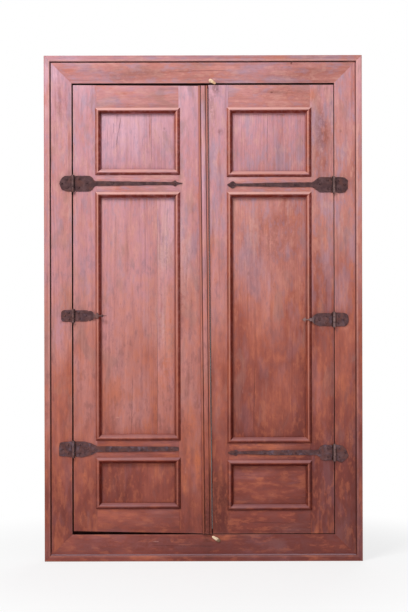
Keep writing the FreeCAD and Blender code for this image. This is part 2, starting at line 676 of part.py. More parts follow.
def nail():
    """One nail at the origin: its head in front of Y = 0, its shank behind."""
    head = polygon_taper(NAIL_SIDES, Vector(0, 0, 0), NAIL_HEAD_RADIUS, -AXIS_Y,
                         NAIL_HEAD_HEIGHT, NAIL_CROWN_RADIUS)
    s, p = NAIL_SHANK / 2, NAIL_POINT / 2
    shank = frustum(rectangle(-s, s, -s, s, 0), rectangle(-p, p, -p, p, NAIL_REACH))
    return merge([head, shank])


def nails_at(places):
    """Nails with their heads on the face of the iron at each X and Z."""
    pattern = nail()
    nails = []
    for x, z in places:
        copy = pattern.copy()
        copy.translate(Vector(x, FACE_Y - STRAP_THICKNESS, z))
        nails.append(copy)
    return nails


# Turn buttons
def button_outline(x, z, reach, turn):
    """A wing from the boss at x, z, turned by a number of degrees from straight up."""
    length = reach - BUTTON_TIP_RADIUS
    lean = math.acos((BUTTON_BOSS_RADIUS - BUTTON_TIP_RADIUS) / length)
    points = []
    for along, radius, flats, start in (
            (length, BUTTON_TIP_RADIUS, BUTTON_TIP_SIDES, -lean),
            (0, BUTTON_BOSS_RADIUS, BUTTON_BOSS_SIDES, lean)):
        sweep = 2 * lean if start < 0 else 2 * (math.pi - lean)
        for i in range(flats + 1):
            angle = start + sweep * i / flats
            u = along + radius * math.cos(angle)
            v = radius * math.sin(angle)
            way = math.radians(turn)
            points.append((x + u * math.sin(way) + v * math.cos(way),
                           z + u * math.cos(way) - v * math.sin(way)))
    return points


def turn_button(x, z, reach, turn):
    """One button: sloped off round its front, bored for its screw."""
    front = FACE_Y - BUTTON_STANDOFF - BUTTON_THICKNESS
    wing = upright(button_outline(x, z, reach, turn), front, FACE_Y - BUTTON_STANDOFF)
    rim = [edge for edge in wing.Edges if abs(edge.BoundBox.YMax - front) < PIN_CLEARANCE]
    wing = wing.makeChamfer(BUTTON_EDGE_SLOPE, rim)
    return wing.cut(Part.makeCylinder(SCREW_RADIUS + SCREW_CLEARANCE, BUTTON_THICKNESS,
                                      Vector(x, front, z), AXIS_Y))


def button_screw(x, z):
    """The screw a button turns on."""
    seat = Vector(x, FACE_Y - 2 * BUTTON_STANDOFF - BUTTON_THICKNESS, z)
    head = polygon_taper(SCREW_HEAD_SIDES, seat, SCREW_HEAD_RADIUS, -AXIS_Y, SCREW_HEAD_HEIGHT,
                         SCREW_CROWN_RADIUS)
    return merge([head, Part.makeCylinder(SCREW_RADIUS, SCREW_LENGTH, seat, AXIS_Y)])


# Rails, each with its underside and its top, from the bottom of the leaf upwards
def rail_levels(bottom, top, bottom_rail, bottom_panel, lower_rail, upper_rail, top_panel, top_rail):
    """Heights of one leaf's four rails."""
    lower = bottom + bottom_rail + bottom_panel
    upper = top - top_rail - top_panel
    return ((bottom, bottom + bottom_rail), (lower, lower + lower_rail),
            (upper - upper_rail, upper), (top - top_rail, top))


left_rails = rail_levels(
    LEFT_LEAF_BOTTOM, LEFT_LEAF_TOP, LEFT_BOTTOM_RAIL_WIDTH, LEFT_BOTTOM_PANEL_HEIGHT,
    LEFT_LOWER_RAIL_WIDTH, LEFT_UPPER_RAIL_WIDTH, LEFT_TOP_PANEL_HEIGHT, LEFT_TOP_RAIL_WIDTH)
right_rails = rail_levels(
    RIGHT_LEAF_BOTTOM, RIGHT_LEAF_TOP, RIGHT_BOTTOM_RAIL_WIDTH, RIGHT_BOTTOM_PANEL_HEIGHT,
    RIGHT_LOWER_RAIL_WIDTH, RIGHT_UPPER_RAIL_WIDTH, RIGHT_TOP_PANEL_HEIGHT, RIGHT_TOP_RAIL_WIDTH)


# Hinge places
def hinge_levels(rails, rises):
    """Heights of the bottom, middle and top hinge of one leaf."""
    lower, upper = rails[1], rails[2]
    middles = (sum(lower) / 2, (lower[1] + upper[0]) / 2, sum(upper) / 2)
    return [middle + rise for middle, rise in zip(middles, rises)]


left_levels = hinge_levels(left_rails, LEFT_HINGE_RISES)
right_levels = hinge_levels(right_rails, RIGHT_HINGE_RISES)
hinges = {
    "left_top": (
        Hinge(LEFT_LEAF_START, 1, left_levels[2], LEFT_TOP_PLATE_HEIGHT, LEFT_TOP_FRAME_REACH,
              LEFT_RAIL_SPAN + LEFT_TOP_STRAP_LAP),
        LEFT_TOP_PLATE_SHARES, LEFT_TOP_STRAP_SHARES, None),
    "left_middle": (
        Hinge(LEFT_LEAF_START, 1, left_levels[1], LEFT_MIDDLE_PLATE_HEIGHT,
              LEFT_MIDDLE_FRAME_REACH, HINGE_STILE_WIDTH + LEFT_FINIAL_REACH),
        LEFT_MIDDLE_PLATE_SHARES, LEFT_MIDDLE_STRAP_SHARES, "bead"),
    "left_bottom": (
        Hinge(LEFT_LEAF_START, 1, left_levels[0], LEFT_BOTTOM_PLATE_HEIGHT,
              LEFT_BOTTOM_FRAME_REACH, LEFT_RAIL_SPAN + LEFT_BOTTOM_STRAP_LAP),
        LEFT_BOTTOM_PLATE_SHARES, LEFT_BOTTOM_STRAP_SHARES, None),
    "right_top": (
        Hinge(RIGHT_LEAF_END, -1, right_levels[2], RIGHT_TOP_PLATE_HEIGHT,
              RIGHT_TOP_FRAME_REACH, RIGHT_RAIL_SPAN + RIGHT_TOP_STRAP_LAP),
        RIGHT_TOP_PLATE_SHARES, RIGHT_TOP_STRAP_SHARES, None),
    "right_middle": (
        Hinge(RIGHT_LEAF_END, -1, right_levels[1], RIGHT_MIDDLE_PLATE_HEIGHT,
              RIGHT_MIDDLE_FRAME_REACH, HINGE_STILE_WIDTH + RIGHT_FINIAL_REACH),
        RIGHT_MIDDLE_PLATE_SHARES, RIGHT_MIDDLE_STRAP_SHARES, "barb"),
    "right_bottom": (
        Hinge(RIGHT_LEAF_END, -1, right_levels[0], RIGHT_BOTTOM_PLATE_HEIGHT,
              RIGHT_BOTTOM_FRAME_REACH, RIGHT_RAIL_SPAN + RIGHT_BOTTOM_STRAP_LAP),
        RIGHT_BOTTOM_PLATE_SHARES, RIGHT_BOTTOM_STRAP_SHARES, None),
}

nodes = {}
frame_nails = []
strap_nails = {"left": [], "right": []}
pins = {"left": [], "right": []}
for name, (hinge, plate_shares, strap_shares, finial) in hinges.items():
    side = name.split("_")[0]
    on_frame = nails_at(hinge.nail_places(FRAME_NAIL_SHARES, -1))
    if finial is None:
        on_leaf = nails_at(hinge.nail_places(PLATE_NAIL_SHARES, 1, STRAP_NAIL_SHARES))
    else:
        on_leaf = nails_at(hinge.nail_places(SHORT_PLATE_NAIL_SHARES, 1))
    nodes[f"{name}_frame_plate"] = cut_all(hinge.frame_plate(plate_shares), on_frame)
    nodes[f"{name}_strap"] = cut_all(hinge.strap(strap_shares, finial), on_leaf)
    frame_nails += on_frame
    strap_nails[side] += on_leaf
    pins[side].append(hinge.pin())
nodes["frame_plate_nails"] = frame_nails
nodes["left_strap_nails"] = strap_nails["left"]
nodes["right_strap_nails"] = strap_nails["right"]
nodes["left_hinge_pins"] = pins["left"]
nodes["right_hinge_pins"] = pins["right"]

# Buttons and their screws
buttons = {
    "top": (OPENING_MIDDLE + TOP_BUTTON_OFFSET, OPENING_TOP + TOP_BUTTON_ABOVE_OPENING,
            TOP_BUTTON_REACH, 180 - TOP_BUTTON_TURN),
    "bottom": (OPENING_MIDDLE + BOTTOM_BUTTON_OFFSET,
               OPENING_BOTTOM - BOTTOM_BUTTON_BELOW_OPENING, BOTTOM_BUTTON_REACH,
               -BOTTOM_BUTTON_TURN),
}
screws = []
for name, (x, z, reach, turn) in buttons.items():
    nodes[f"{name}_turn_button"] = turn_button(x, z, reach, turn)
    screws.append(button_screw(x, z))
nodes["button_screws"] = screws

# Frame
pegs = frame_pegs()
for name, member in frame_members().items():
    nodes[name] = cut_all(member, fixing_holes() + pegs + frame_nails + screws)
nodes["frame_pegs"] = pegs
edge_names = ("edge_mould_left", "edge_mould_right", "edge_mould_sill", "edge_mould_head")
edge_strips = mitred_strips(-HALF_WIDTH, HALF_WIDTH, 0, FRAME_HEIGHT, edge_profile(), EDGE_WIDTH)
nodes.update(zip(edge_names, edge_strips))

# Leaves
left_foot = OPENING_BOTTOM + LEFT_BOTTOM_GAP_MEETING
left_head = OPENING_TOP - LEFT_TOP_GAP_MEETING
left_outline = (
    (LEFT_LEAF_START, OPENING_BOTTOM + LEFT_BOTTOM_GAP_HINGE),
    (leaning(LEFT_LEAF_END, left_foot), left_foot),
    (leaning(LEFT_LEAF_END, left_head), left_head),
    (LEFT_LEAF_START, OPENING_TOP - LEFT_TOP_GAP_HINGE))
right_outline = (
    (leaning(RIGHT_LEAF_START, RIGHT_LEAF_BOTTOM), RIGHT_LEAF_BOTTOM),
    (RIGHT_LEAF_END, RIGHT_LEAF_BOTTOM), (RIGHT_LEAF_END, RIGHT_LEAF_TOP),
    (leaning(RIGHT_LEAF_START, RIGHT_LEAF_TOP), RIGHT_LEAF_TOP))
post_seat = plan_rectangle(POST_START, LEFT_LEAF_END + MEETING_LEAN, FACE_Y - OVERRUN, BACK_Y)
post_groove = plan_rectangle(POST_START - POST_TONGUE, POST_START + OVERRUN, GROOVE_Y,
                             GROOVE_Y + GROOVE_WIDTH)
right_bevel = ((RIGHT_LEAF_START, FACE_Y), (RIGHT_LEAF_START + MEETING_BEVEL, LEAF_BACK_Y),
               (RIGHT_LEAF_START - OVERRUN, LEAF_BACK_Y), (RIGHT_LEAF_START - OVERRUN, FACE_Y))
nodes.update(leaf_pieces("left", left_outline, LEFT_LEAF_START + HINGE_STILE_WIDTH,
                         LEFT_MEETING_EDGE, left_rails, strap_nails["left"],
                         (post_seat, post_groove)))
nodes.update(leaf_pieces("right", right_outline, RIGHT_MEETING_EDGE,
                         RIGHT_LEAF_END - HINGE_STILE_WIDTH, right_rails,
                         strap_nails["right"], (right_bevel,)))
nodes["left_closing_post"] = along_joint(post_profile(POST_START)).common(
    upright(left_outline, FACE_Y - POST_PROUD - OVERRUN, BACK_Y))

# The left middle panel is two boards
whole = nodes.pop("left_middle_panel")
joint_x = LEFT_MEETING_EDGE - LEFT_INNER_BOARD_WIDTH
bounds = whole.BoundBox
for name, x0, x1 in (
        ("outer", bounds.XMin, joint_x - BOARD_JOINT_GAP / 2),
        ("inner", joint_x + BOARD_JOINT_GAP / 2, bounds.XMax)):
    board = box(x0, x1, bounds.YMin, bounds.YMax, bounds.ZMin, bounds.ZMax)
    nodes[f"left_middle_panel_{name}_board"] = whole.common(board)

os.makedirs("parts", exist_ok=True)
for name, shape in nodes.items():
    solids = shape if isinstance(shape, list) else shape.Solids
    whole_node = solids[0] if len(solids) == 1 else Part.makeCompound(solids)
    whole_node.exportStep(f"parts/{name}.step")
print(len(nodes), "nodes")
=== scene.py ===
import json
import math

import bpy
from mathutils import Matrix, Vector

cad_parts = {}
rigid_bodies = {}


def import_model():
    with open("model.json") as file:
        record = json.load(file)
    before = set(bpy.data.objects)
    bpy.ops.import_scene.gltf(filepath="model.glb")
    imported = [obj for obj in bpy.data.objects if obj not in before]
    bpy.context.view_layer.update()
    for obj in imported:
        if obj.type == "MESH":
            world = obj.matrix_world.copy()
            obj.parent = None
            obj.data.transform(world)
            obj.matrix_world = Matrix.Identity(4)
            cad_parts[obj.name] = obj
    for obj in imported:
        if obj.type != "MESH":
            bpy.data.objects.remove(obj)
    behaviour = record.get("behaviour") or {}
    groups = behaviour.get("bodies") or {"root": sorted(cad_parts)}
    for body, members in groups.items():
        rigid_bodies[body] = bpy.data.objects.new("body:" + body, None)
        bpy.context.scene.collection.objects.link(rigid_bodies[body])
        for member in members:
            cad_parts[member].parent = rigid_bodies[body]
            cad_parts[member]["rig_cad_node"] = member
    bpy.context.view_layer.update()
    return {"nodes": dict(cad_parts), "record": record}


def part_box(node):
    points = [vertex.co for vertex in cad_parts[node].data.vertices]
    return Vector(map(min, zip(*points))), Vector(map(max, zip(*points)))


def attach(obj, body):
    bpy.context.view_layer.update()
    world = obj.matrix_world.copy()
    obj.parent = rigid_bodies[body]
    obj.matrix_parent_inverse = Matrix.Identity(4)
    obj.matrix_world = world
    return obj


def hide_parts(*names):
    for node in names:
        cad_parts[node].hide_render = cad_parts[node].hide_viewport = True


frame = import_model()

bl_info = {
    "name": "Panelled cupboard door",
    "version": (1, 0, 0),
    "blender": (4, 5, 0),
    "location": "View3D > Sidebar > Cupboard Door",
    "description": "Wood, forged iron and brass for a two-leaf cupboard door",
    "category": "Object",
}

MM = 0.001

# Lines of the door that its paint and dirt follow
FACE_Y = -22.5 * MM
FRAME_SIDE = 525.0 * MM
FRAME_HEAD = 1670.0 * MM
OPENING_SIDE = 432.5 * MM
OPENING_FOOT = 89.5 * MM
OPENING_HEAD = 1576.0 * MM
MID_HEIGHT = 833.5 * MM
PANEL_SIDES = {"left": (-351.0 * MM, -80.5 * MM), "right": (83.8 * MM, 353.3 * MM)}
PANEL_TONGUE = 9.0 * MM
STRIP_WIDTH = 20.0 * MM

# The joint between the leaves: the post's far edge at mid height, and how the joint leans
POST_EDGE = 22.0 * MM
POST_WIDTH = 31.5 * MM
JOINT_LEAN = 0.00807
BEAD_WIDTH = 7.0 * MM
QUIRK_BED_Y = -26.5 * MM

# Button screws: X and Z of the axis, and the turn of the slot in degrees
TOP_SCREW = (25.5 * MM, 1587.0 * MM, 24.0)
BOTTOM_SCREW = (49.0 * MM, 68.5 * MM, -52.0)
SLOT_SIZE = (9.0 * MM, 1.8 * MM, 0.95 * MM)

# Joining and smoothing of the meshes
SAME_POINT = 0.002 * MM
FLAT_ANGLE = math.radians(0.6)
KNUCKLE_CLEAR = 4.2 * MM

FLOOR_SIZE = 14.0
FLOOR_DROP = 0.6 * MM
SENSOR_WIDTH = 36.0
FARTHEST_SEEN = 60.0
WHITE = (1.0, 1.0, 1.0, 1.0)


# Node writing
def arithmetic(operation, turned=False):
    """A method of Wire that adds one Math node, its values turned round if asked."""
    def method(self, *others):
        values = (*others, self) if turned else (self, *others)
        return self.finish.add("ShaderNodeMath", {"operation": operation},
                               dict(enumerate(values)))
    return method


class Wire:
    """A socket whose arithmetic adds Math nodes."""

    def __init__(self, finish, socket):
        self.finish = finish
        self.socket = socket

    __add__ = __radd__ = arithmetic("ADD")
    __sub__ = arithmetic("SUBTRACT")
    __rsub__ = arithmetic("SUBTRACT", turned=True)
    __mul__ = __rmul__ = arithmetic("MULTIPLY")
    __truediv__ = arithmetic("DIVIDE")
    __abs__ = arithmetic("ABSOLUTE")
    sine = arithmetic("SINE")
    least = arithmetic("MINIMUM")
    most = arithmetic("MAXIMUM")

    def step(self, low, high):
        """0 at low, 1 at high, and a soft slope between, also where high is below low."""
        return self.finish.add("ShaderNodeMapRange", {"interpolation_type": "SMOOTHSTEP"},
                               {"Value": self, "From Min": low, "From Max": high})


class Finish:
    """The node tree of one material or world."""

    def __init__(self, owner):
        owner.use_nodes = True
        self.owner = owner
        self.tree = owner.node_tree
        self.tree.nodes.clear()

    def add(self, kind, settings=None, sockets=None, output=0):
        """Adds a node: its settings, then its sockets' values or links. Gives an output."""
        node = self.tree.nodes.new(kind)
        for name, value in (settings or {}).items():
            if name == "stops":
                ramp = node.color_ramp
                while len(ramp.elements) < len(value):
                    ramp.elements.new(1.0)
                for element, (place, colour) in zip(ramp.elements, value):
                    element.position = place
                    element.color = colour
            else:
                setattr(node, name, value)
        for name, value in (sockets or {}).items():
            if isinstance(value, Wire):
                self.tree.links.new(value.socket, node.inputs[name])
            else:
                node.inputs[name].default_value = value
        return Wire(self, node.outputs[output]) if node.outputs else None

    def here(self, output="Object"):
        """Object coordinates, or the surface's own direction when asked for Normal."""
        return self.add("ShaderNodeTexCoord", output=output)

    def parts(self, vector):
        first = self.add("ShaderNodeSeparateXYZ", None, {0: vector})
        return [Wire(self, socket) for socket in first.socket.node.outputs]

    def point(self, x, y, z):
        return self.add("ShaderNodeCombineXYZ", None, {0: x, 1: y, 2: z})

    def noise(self, where, scale, detail=2.0, roughness=0.5, distortion=0.0):
        return self.add("ShaderNodeTexNoise", {"noise_dimensions": "3D"},
                        {"Vector": where, "Scale": scale, "Detail": detail,
                         "Roughness": roughness, "Distortion": distortion}, "Fac")

    def ramp(self, stops, value):
        return self.add("ShaderNodeValToRGB", {"stops": stops}, {0: value})

    def mix(self, share, first, second, blend="MIX"):
        return self.add("ShaderNodeMix", {"data_type": "RGBA", "blend_type": blend},
                        {0: share, 6: first, 7: second}, 2)

    def bump(self, height, distance, strength, under=None):
        """A bump, laid over another one where that is given."""
        sockets = {"Height": height, "Distance": distance, "Strength": strength}
        if under is not None:
            sockets["Normal"] = under
        return self.add("ShaderNodeBump", None, sockets)

    def surface(self, shader):
        """Ends the tree with this shader and hands back its material or world."""
        kind = "Material" if isinstance(self.owner, bpy.types.Material) else "World"
        self.add(f"ShaderNodeOutput{kind}", None, {"Surface": shader})
        return self.owner

    def principled(self, sockets):
        return self.surface(self.add("ShaderNodeBsdfPrincipled", None, sockets))

    def mixed(self, share, first, second):
        """Ends the tree with two shaders mixed."""
        return self.surface(self.add("ShaderNodeMixShader", None,
                                     {0: share, 1: first, 2: second}))


# Settings a user would change
def tint(name, description, default):
    """A colour setting."""
    return bpy.props.FloatVectorProperty(name=name, description=description, subtype="COLOR",
                                         size=4, min=0.0, max=1.0, default=(*default, 1.0))


def length_setting(name, description, default):
    return bpy.props.FloatProperty(name=name, description=description, default=default,
                                   unit="LENGTH", precision=5)


def power_setting(name, description, default):
    return bpy.props.FloatProperty(name=name, description=description, default=default,
                                   unit="POWER")


class DoorWoodSettings(bpy.types.PropertyGroup):
    """Colours and edges of the stained wood."""
    darkest: tint("Stain at the sill", "Darkest stain, by the floor", (0.19, 0.047, 0.038))
    dark: tint("Dark stain", "Stain on the lowest rails", (0.285, 0.074, 0.055))
    stain: tint("Stain", "Red-brown of the stain", (0.44, 0.128, 0.088))
    # The clouded, rose and lilac stops are partly painted sheen and painted light, which the tone
    # ramp lays high up and to the left
    clouded: tint("Clouded stain", "Stain under a cloudy film", (0.605, 0.25, 0.218))
    rose: tint("Rose film", "Stain under a thick film", (0.625, 0.3, 0.335))
    lilac: tint("Lilac film", "Stain where the film is thickest", (0.7, 0.4, 0.48))
    smoke: tint("Smoky streaks", "Grey-brown streaks in the film", (0.4, 0.215, 0.19))
    smoke_low: tint("Low streaks", "Dark mauve streaks low on the door", (0.2, 0.078, 0.076))
    bleached: tint("Bleached", "Wood that light has paled", (0.72, 0.42, 0.39))
    deep: tint("Grain", "Stain that has sunk into the grain", (0.2, 0.05, 0.04))
    soil: tint("Soiled", "Dirt round the iron and at the foot", (0.095, 0.028, 0.022))
    # Bloom that is partly painted sheen, laid high on the door
    haze: tint("Grey haze", "Bluish bloom on the film", (0.44, 0.31, 0.4))
    rubbed: tint("Rubbed", "Orange wood where it is rubbed", (0.66, 0.2, 0.1))
    handled: tint("Handled", "Brown wood where it is handled", (0.4, 0.125, 0.062))
    # Worn edges, partly a painted highlight on ridges and on edges high on the door
    crest_wear_and_highlight: tint("Crest", "Wood on worn edges", (0.76, 0.42, 0.36))
    # Rubbed noses, also the painted highlight on upright moulding strips
    rub_and_highlight: tint("Edge rub", "Rubbed nose of the mouldings", (0.68, 0.285, 0.195))
    dust: tint("Dust", "Dusty ledges low on the door", (0.36, 0.165, 0.17))
    groove_dust: tint("Groove dust", "Pale dust in the sill's groove", (0.7, 0.5, 0.56))
    # On the mouldings the browned slopes are partly painted shade, and the darkest colour is
    # painted shade with dirt
    brown: tint("Browned", "What browned slopes leave of the stain", (0.57, 0.335, 0.235))
    shade_and_dirt: tint("Hollows", "What dirty hollows leave of the stain", (0.31, 0.072, 0.036))
    # Dirt, also used as painted shade in gaps, grooves, cracks and the post's bed
    grime_and_shade: tint("Grime", "Dirt in joints and gaps", (0.052, 0.01, 0.008))
    joint: tint("Joint", "Dark red edges of the joint", (0.15, 0.006, 0.002))
    raw: tint("Unfinished", "Wood on the back", (0.21, 0.1, 0.065))
    board_arris: length_setting("Board arris", "Width of the eased edges", 0.9 * MM)
    trim_arris: length_setting("Moulding arris", "Width of the mouldings' edges", 0.45 * MM)
    gloss: bpy.props.FloatProperty(name="Roughness", description="Roughness of the stained face",
                                   default=0.42, subtype="FACTOR", min=0.0, max=1.0)


class DoorIronSettings(bpy.types.PropertyGroup):
    """Colours and hammering of the ironwork."""
    scale_colour: tint("Fire scale", "Dark skin of the iron", (0.074, 0.033, 0.036))
    worn_colour: tint("Worn iron", "Iron where it is rubbed", (0.155, 0.08, 0.082))
    rust: tint("Rust", "Red-brown stain on the iron", (0.165, 0.062, 0.05))
    ash: tint("Ash", "Grey-lilac bloom on the scale", (0.165, 0.115, 0.15))
    # The knuckles' colour is partly a painted highlight; the darkest colour is painted shade with
    # dirt next to the knuckles, and painted shade high on the door
    rubbed: tint("Knuckles", "Iron rubbed bare on the knuckles", (0.36, 0.23, 0.21))
    shade_and_dirt: tint("Hollows", "Dirt beside the knuckles", (0.02, 0.009, 0.01))
    grain: length_setting("Forging grain", "Size of the mesh's cells", 1.15 * MM)
    dent: length_setting("Hammer dents", "Depth of the hammering", 0.7 * MM)
    pit: length_setting("Pits", "Depth of the pits between the dents", 0.245 * MM)


class DoorBrassSettings(bpy.types.PropertyGroup):
    """Colours of the turn buttons and their screws."""
    bright: tint("Bright", "Rubbed metal", (0.93, 0.72, 0.52))
    # The dull colour also paints shade on the top button's lower end; the brown end colour is
    # painted shade on the bottom button's round end
    dull: tint("Dull", "Tarnish in the hollows", (0.5, 0.27, 0.13))
    end_shade: tint("Tarnish", "Brown end of the bottom button", (0.17, 0.1, 0.055))
    grain: length_setting("Casting grain", "Size of the mesh's cells", 0.32 * MM)


class DoorStageSettings(bpy.types.PropertyGroup):
    """Camera and light."""
    camera_gap: length_setting("Camera distance", "From the camera to the door's face", 4.774)
    camera_shift: length_setting("Camera offset", "To the right of the door's middle", 0.0025)
    camera_height: length_setting("Camera height", "Above the sill's underside", 0.8426)
    lens: bpy.props.FloatProperty(name="Lens", description="Focal length in millimetres",
                                  default=85.0)
    roll: bpy.props.FloatProperty(name="Roll", description="Tilt of the camera about its axis",
                                  default=math.radians(0.13), subtype="ANGLE")
    key_power: power_setting("Key light", "Power of the lamp high on the left", 125.0)
    fill_power: power_setting("Fill light", "Power of the lamp on the right", 10.0)
    back_power: power_setting("Back light", "Power of the lamp behind the door", 45.0)
    daylight: bpy.props.FloatProperty(name="Daylight", description="Level of the light all round",
                                      default=0.36)


def settings():
    return bpy.context.scene.cupboard_door


# Picking and shaping
def pick(piece=None):
    """Deselects everything, then selects this piece, if one is given."""
    if bpy.context.object and bpy.context.object.mode != "OBJECT":
        bpy.ops.object.mode_set(mode="OBJECT")
    bpy.ops.object.select_all(action="DESELECT")
    if piece:
        piece.select_set(True)
        bpy.context.view_layer.objects.active = piece


def apply_modifier(piece, kind, **values):
    """Adds one modifier, sets it and applies it."""
    pick(piece)
    bpy.ops.object.modifier_add(type=kind)
    modifier = piece.modifiers[-1]
    for name, value in values.items():
        setattr(modifier, name, value)
    bpy.ops.object.modifier_apply(modifier=modifier.name)


def ease_edges(piece, width, segments, sharper_than):
    """Rounds the edges that turn by more than an angle."""
    apply_modifier(piece, "BEVEL", width=width, segments=segments, limit_method="ANGLE",
                   angle_limit=math.radians(sharper_than))


def shade_smooth(piece, up_to):
    """Shades a piece smooth across the edges that turn by less than an angle."""
    pick(piece)
    bpy.ops.object.shade_smooth_by_angle(angle=math.radians(up_to))


def strip_of(face, low, high):
    """Which strip of a mitred ring a face belongs to, by the side that it is nearest to."""
    inside = face.center - face.normal * (0.05 * MM)
    reaches = (inside.x - low.x, high.x - inside.x, inside.z - low.z, high.z - inside.z)
    return reaches.index(min(reaches))


def copy_node(node, name, strips=False):
    """A copy of a CAD node, its loose triangles joined; mitred strips stay apart."""
    pick(frame["nodes"][node])
    bpy.ops.object.duplicate()
    piece = bpy.context.object
    piece.name = name
    piece.data.name = name
    del piece["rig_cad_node"]
    bpy.ops.object.mode_set(mode="EDIT")
    bpy.ops.mesh.select_mode(type="FACE")
    if strips:
        low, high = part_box(node)
        for strip in range(4):
            bpy.ops.mesh.select_all(action="DESELECT")
            bpy.ops.object.mode_set(mode="OBJECT")
            for face in piece.data.polygons:
                face.select = strip_of(face, low, high) == strip
            bpy.ops.object.mode_set(mode="EDIT")
            bpy.ops.mesh.remove_doubles(threshold=SAME_POINT)
    bpy.ops.mesh.select_all(action="SELECT")
    if not strips:
        bpy.ops.mesh.remove_doubles(threshold=SAME_POINT)
    bpy.ops.mesh.dissolve_limited(angle_limit=FLAT_ANGLE)
    bpy.ops.mesh.select_all(action="DESELECT")
    bpy.ops.object.mode_set(mode="OBJECT")
    return piece


def body_of(node):
    for body, members in frame["record"]["behaviour"]["bodies"].items():
        if node in members:
            return body
    raise RuntimeError(f"no body holds {node}")


def finish_piece(piece, node, material):
    """Gives a piece its finish and ties it to the frame."""
    piece.data.materials.clear()
    piece.data.materials.append(material)
    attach(piece, body_of(node))
    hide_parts(node)


def shared_finish(name, maker):
    """One material for every piece of a kind."""
    return bpy.data.materials.get(name) or maker(name)


# Wood. Places and sizes in these tables are in millimetres.
# Cracks: X and Z of the start and of the end, and the width
CRACKS = {
    "left_top_panel": (((-269, 1478), (-289, 1362), 0.5),
                       ((-295, 1452), (-296, 1412), 0.4),
                       ((-170, 1492), (-170, 1300), 0.35)),
    "left_middle_panel_inner_board": (((-118, 1200), (-121, 920), 0.35),),
    "left_middle_panel_outer_board": (((-235, 620), (-238, 410), 0.45),),
    "right_top_panel": (((214, 1492), (212, 1300), 0.5),),
    "right_middle_panel": (((170, 660), (166, 400), 0.4),),
    "right_bottom_rail": (((150, 128), (310, 124), 0.4),),
    "frame_sill": (((-200, 52), (60, 49), 0.5),),
    "frame_head": (((-120, 1618), (100, 1621), 0.4),),
}

# How pale the film, partly painted sheen and painted light, is on a piece, over and above what its
# place on the door gives
TONES = {
    "frame_left_jamb": -0.14, "frame_right_jamb": -0.02, "frame_head": -0.55,
    "edge_mould_left": -0.1, "edge_mould_right": -0.02, "edge_mould_head": -0.45,
    "left_hinge_stile": -0.09, "left_meeting_stile": 0.18, "left_closing_post": 0.1,
    "left_top_rail": -0.45, "left_upper_rail": -0.1, "left_bottom_rail": 0.08,
    "right_meeting_stile": 0.1, "right_hinge_stile": -0.14, "right_top_rail": -0.44,
    "right_upper_rail": -0.1, "right_bottom_rail": 0.05, "left_top_panel": 0.2,
    "left_middle_panel_outer_board": 0.09, "left_middle_panel_inner_board": 0.22,
    "left_bottom_panel": -0.1, "right_top_panel": 0.1, "right_middle_panel": -0.1,
    "right_bottom_panel": 0.06,
}

# Clouds of the film, partly painted sheen and painted light: X and Z of the middle, half the
# width, half the height, how much paler
CLOUDS = (
    (-480, 850, 50, 420, 0.2), (-470, 200, 50, 170, -0.24), (-393, 580, 45, 200, 0.14),
    (-393, 220, 45, 120, -0.08), (479, 580, 50, 180, 0.08), (393, 560, 40, 200, 0.27),
    (393, 1400, 40, 160, -0.2), (50, 200, 30, 150, -0.16), (-240, 530, 100, 160, 0.22),
    (-120, 580, 35, 220, 0.16), (221, 1040, 110, 120, -0.06), (221, 520, 110, 140, 0.07),
    (-200, 50, 300, 30, -0.16), (220, 50, 250, 30, -0.12), (-480, 1470, 60, 260, -0.2),
    (-393, 1440, 50, 200, -0.2), (-393, 160, 50, 120, -0.1), (50, 160, 35, 160, -0.22),
    (393, 1440, 40, 160, -0.14), (250, 1545, 150, 35, -0.16), (-250, 1620, 260, 40, -0.16),
    (-100, 1100, 45, 220, 0.22),
)

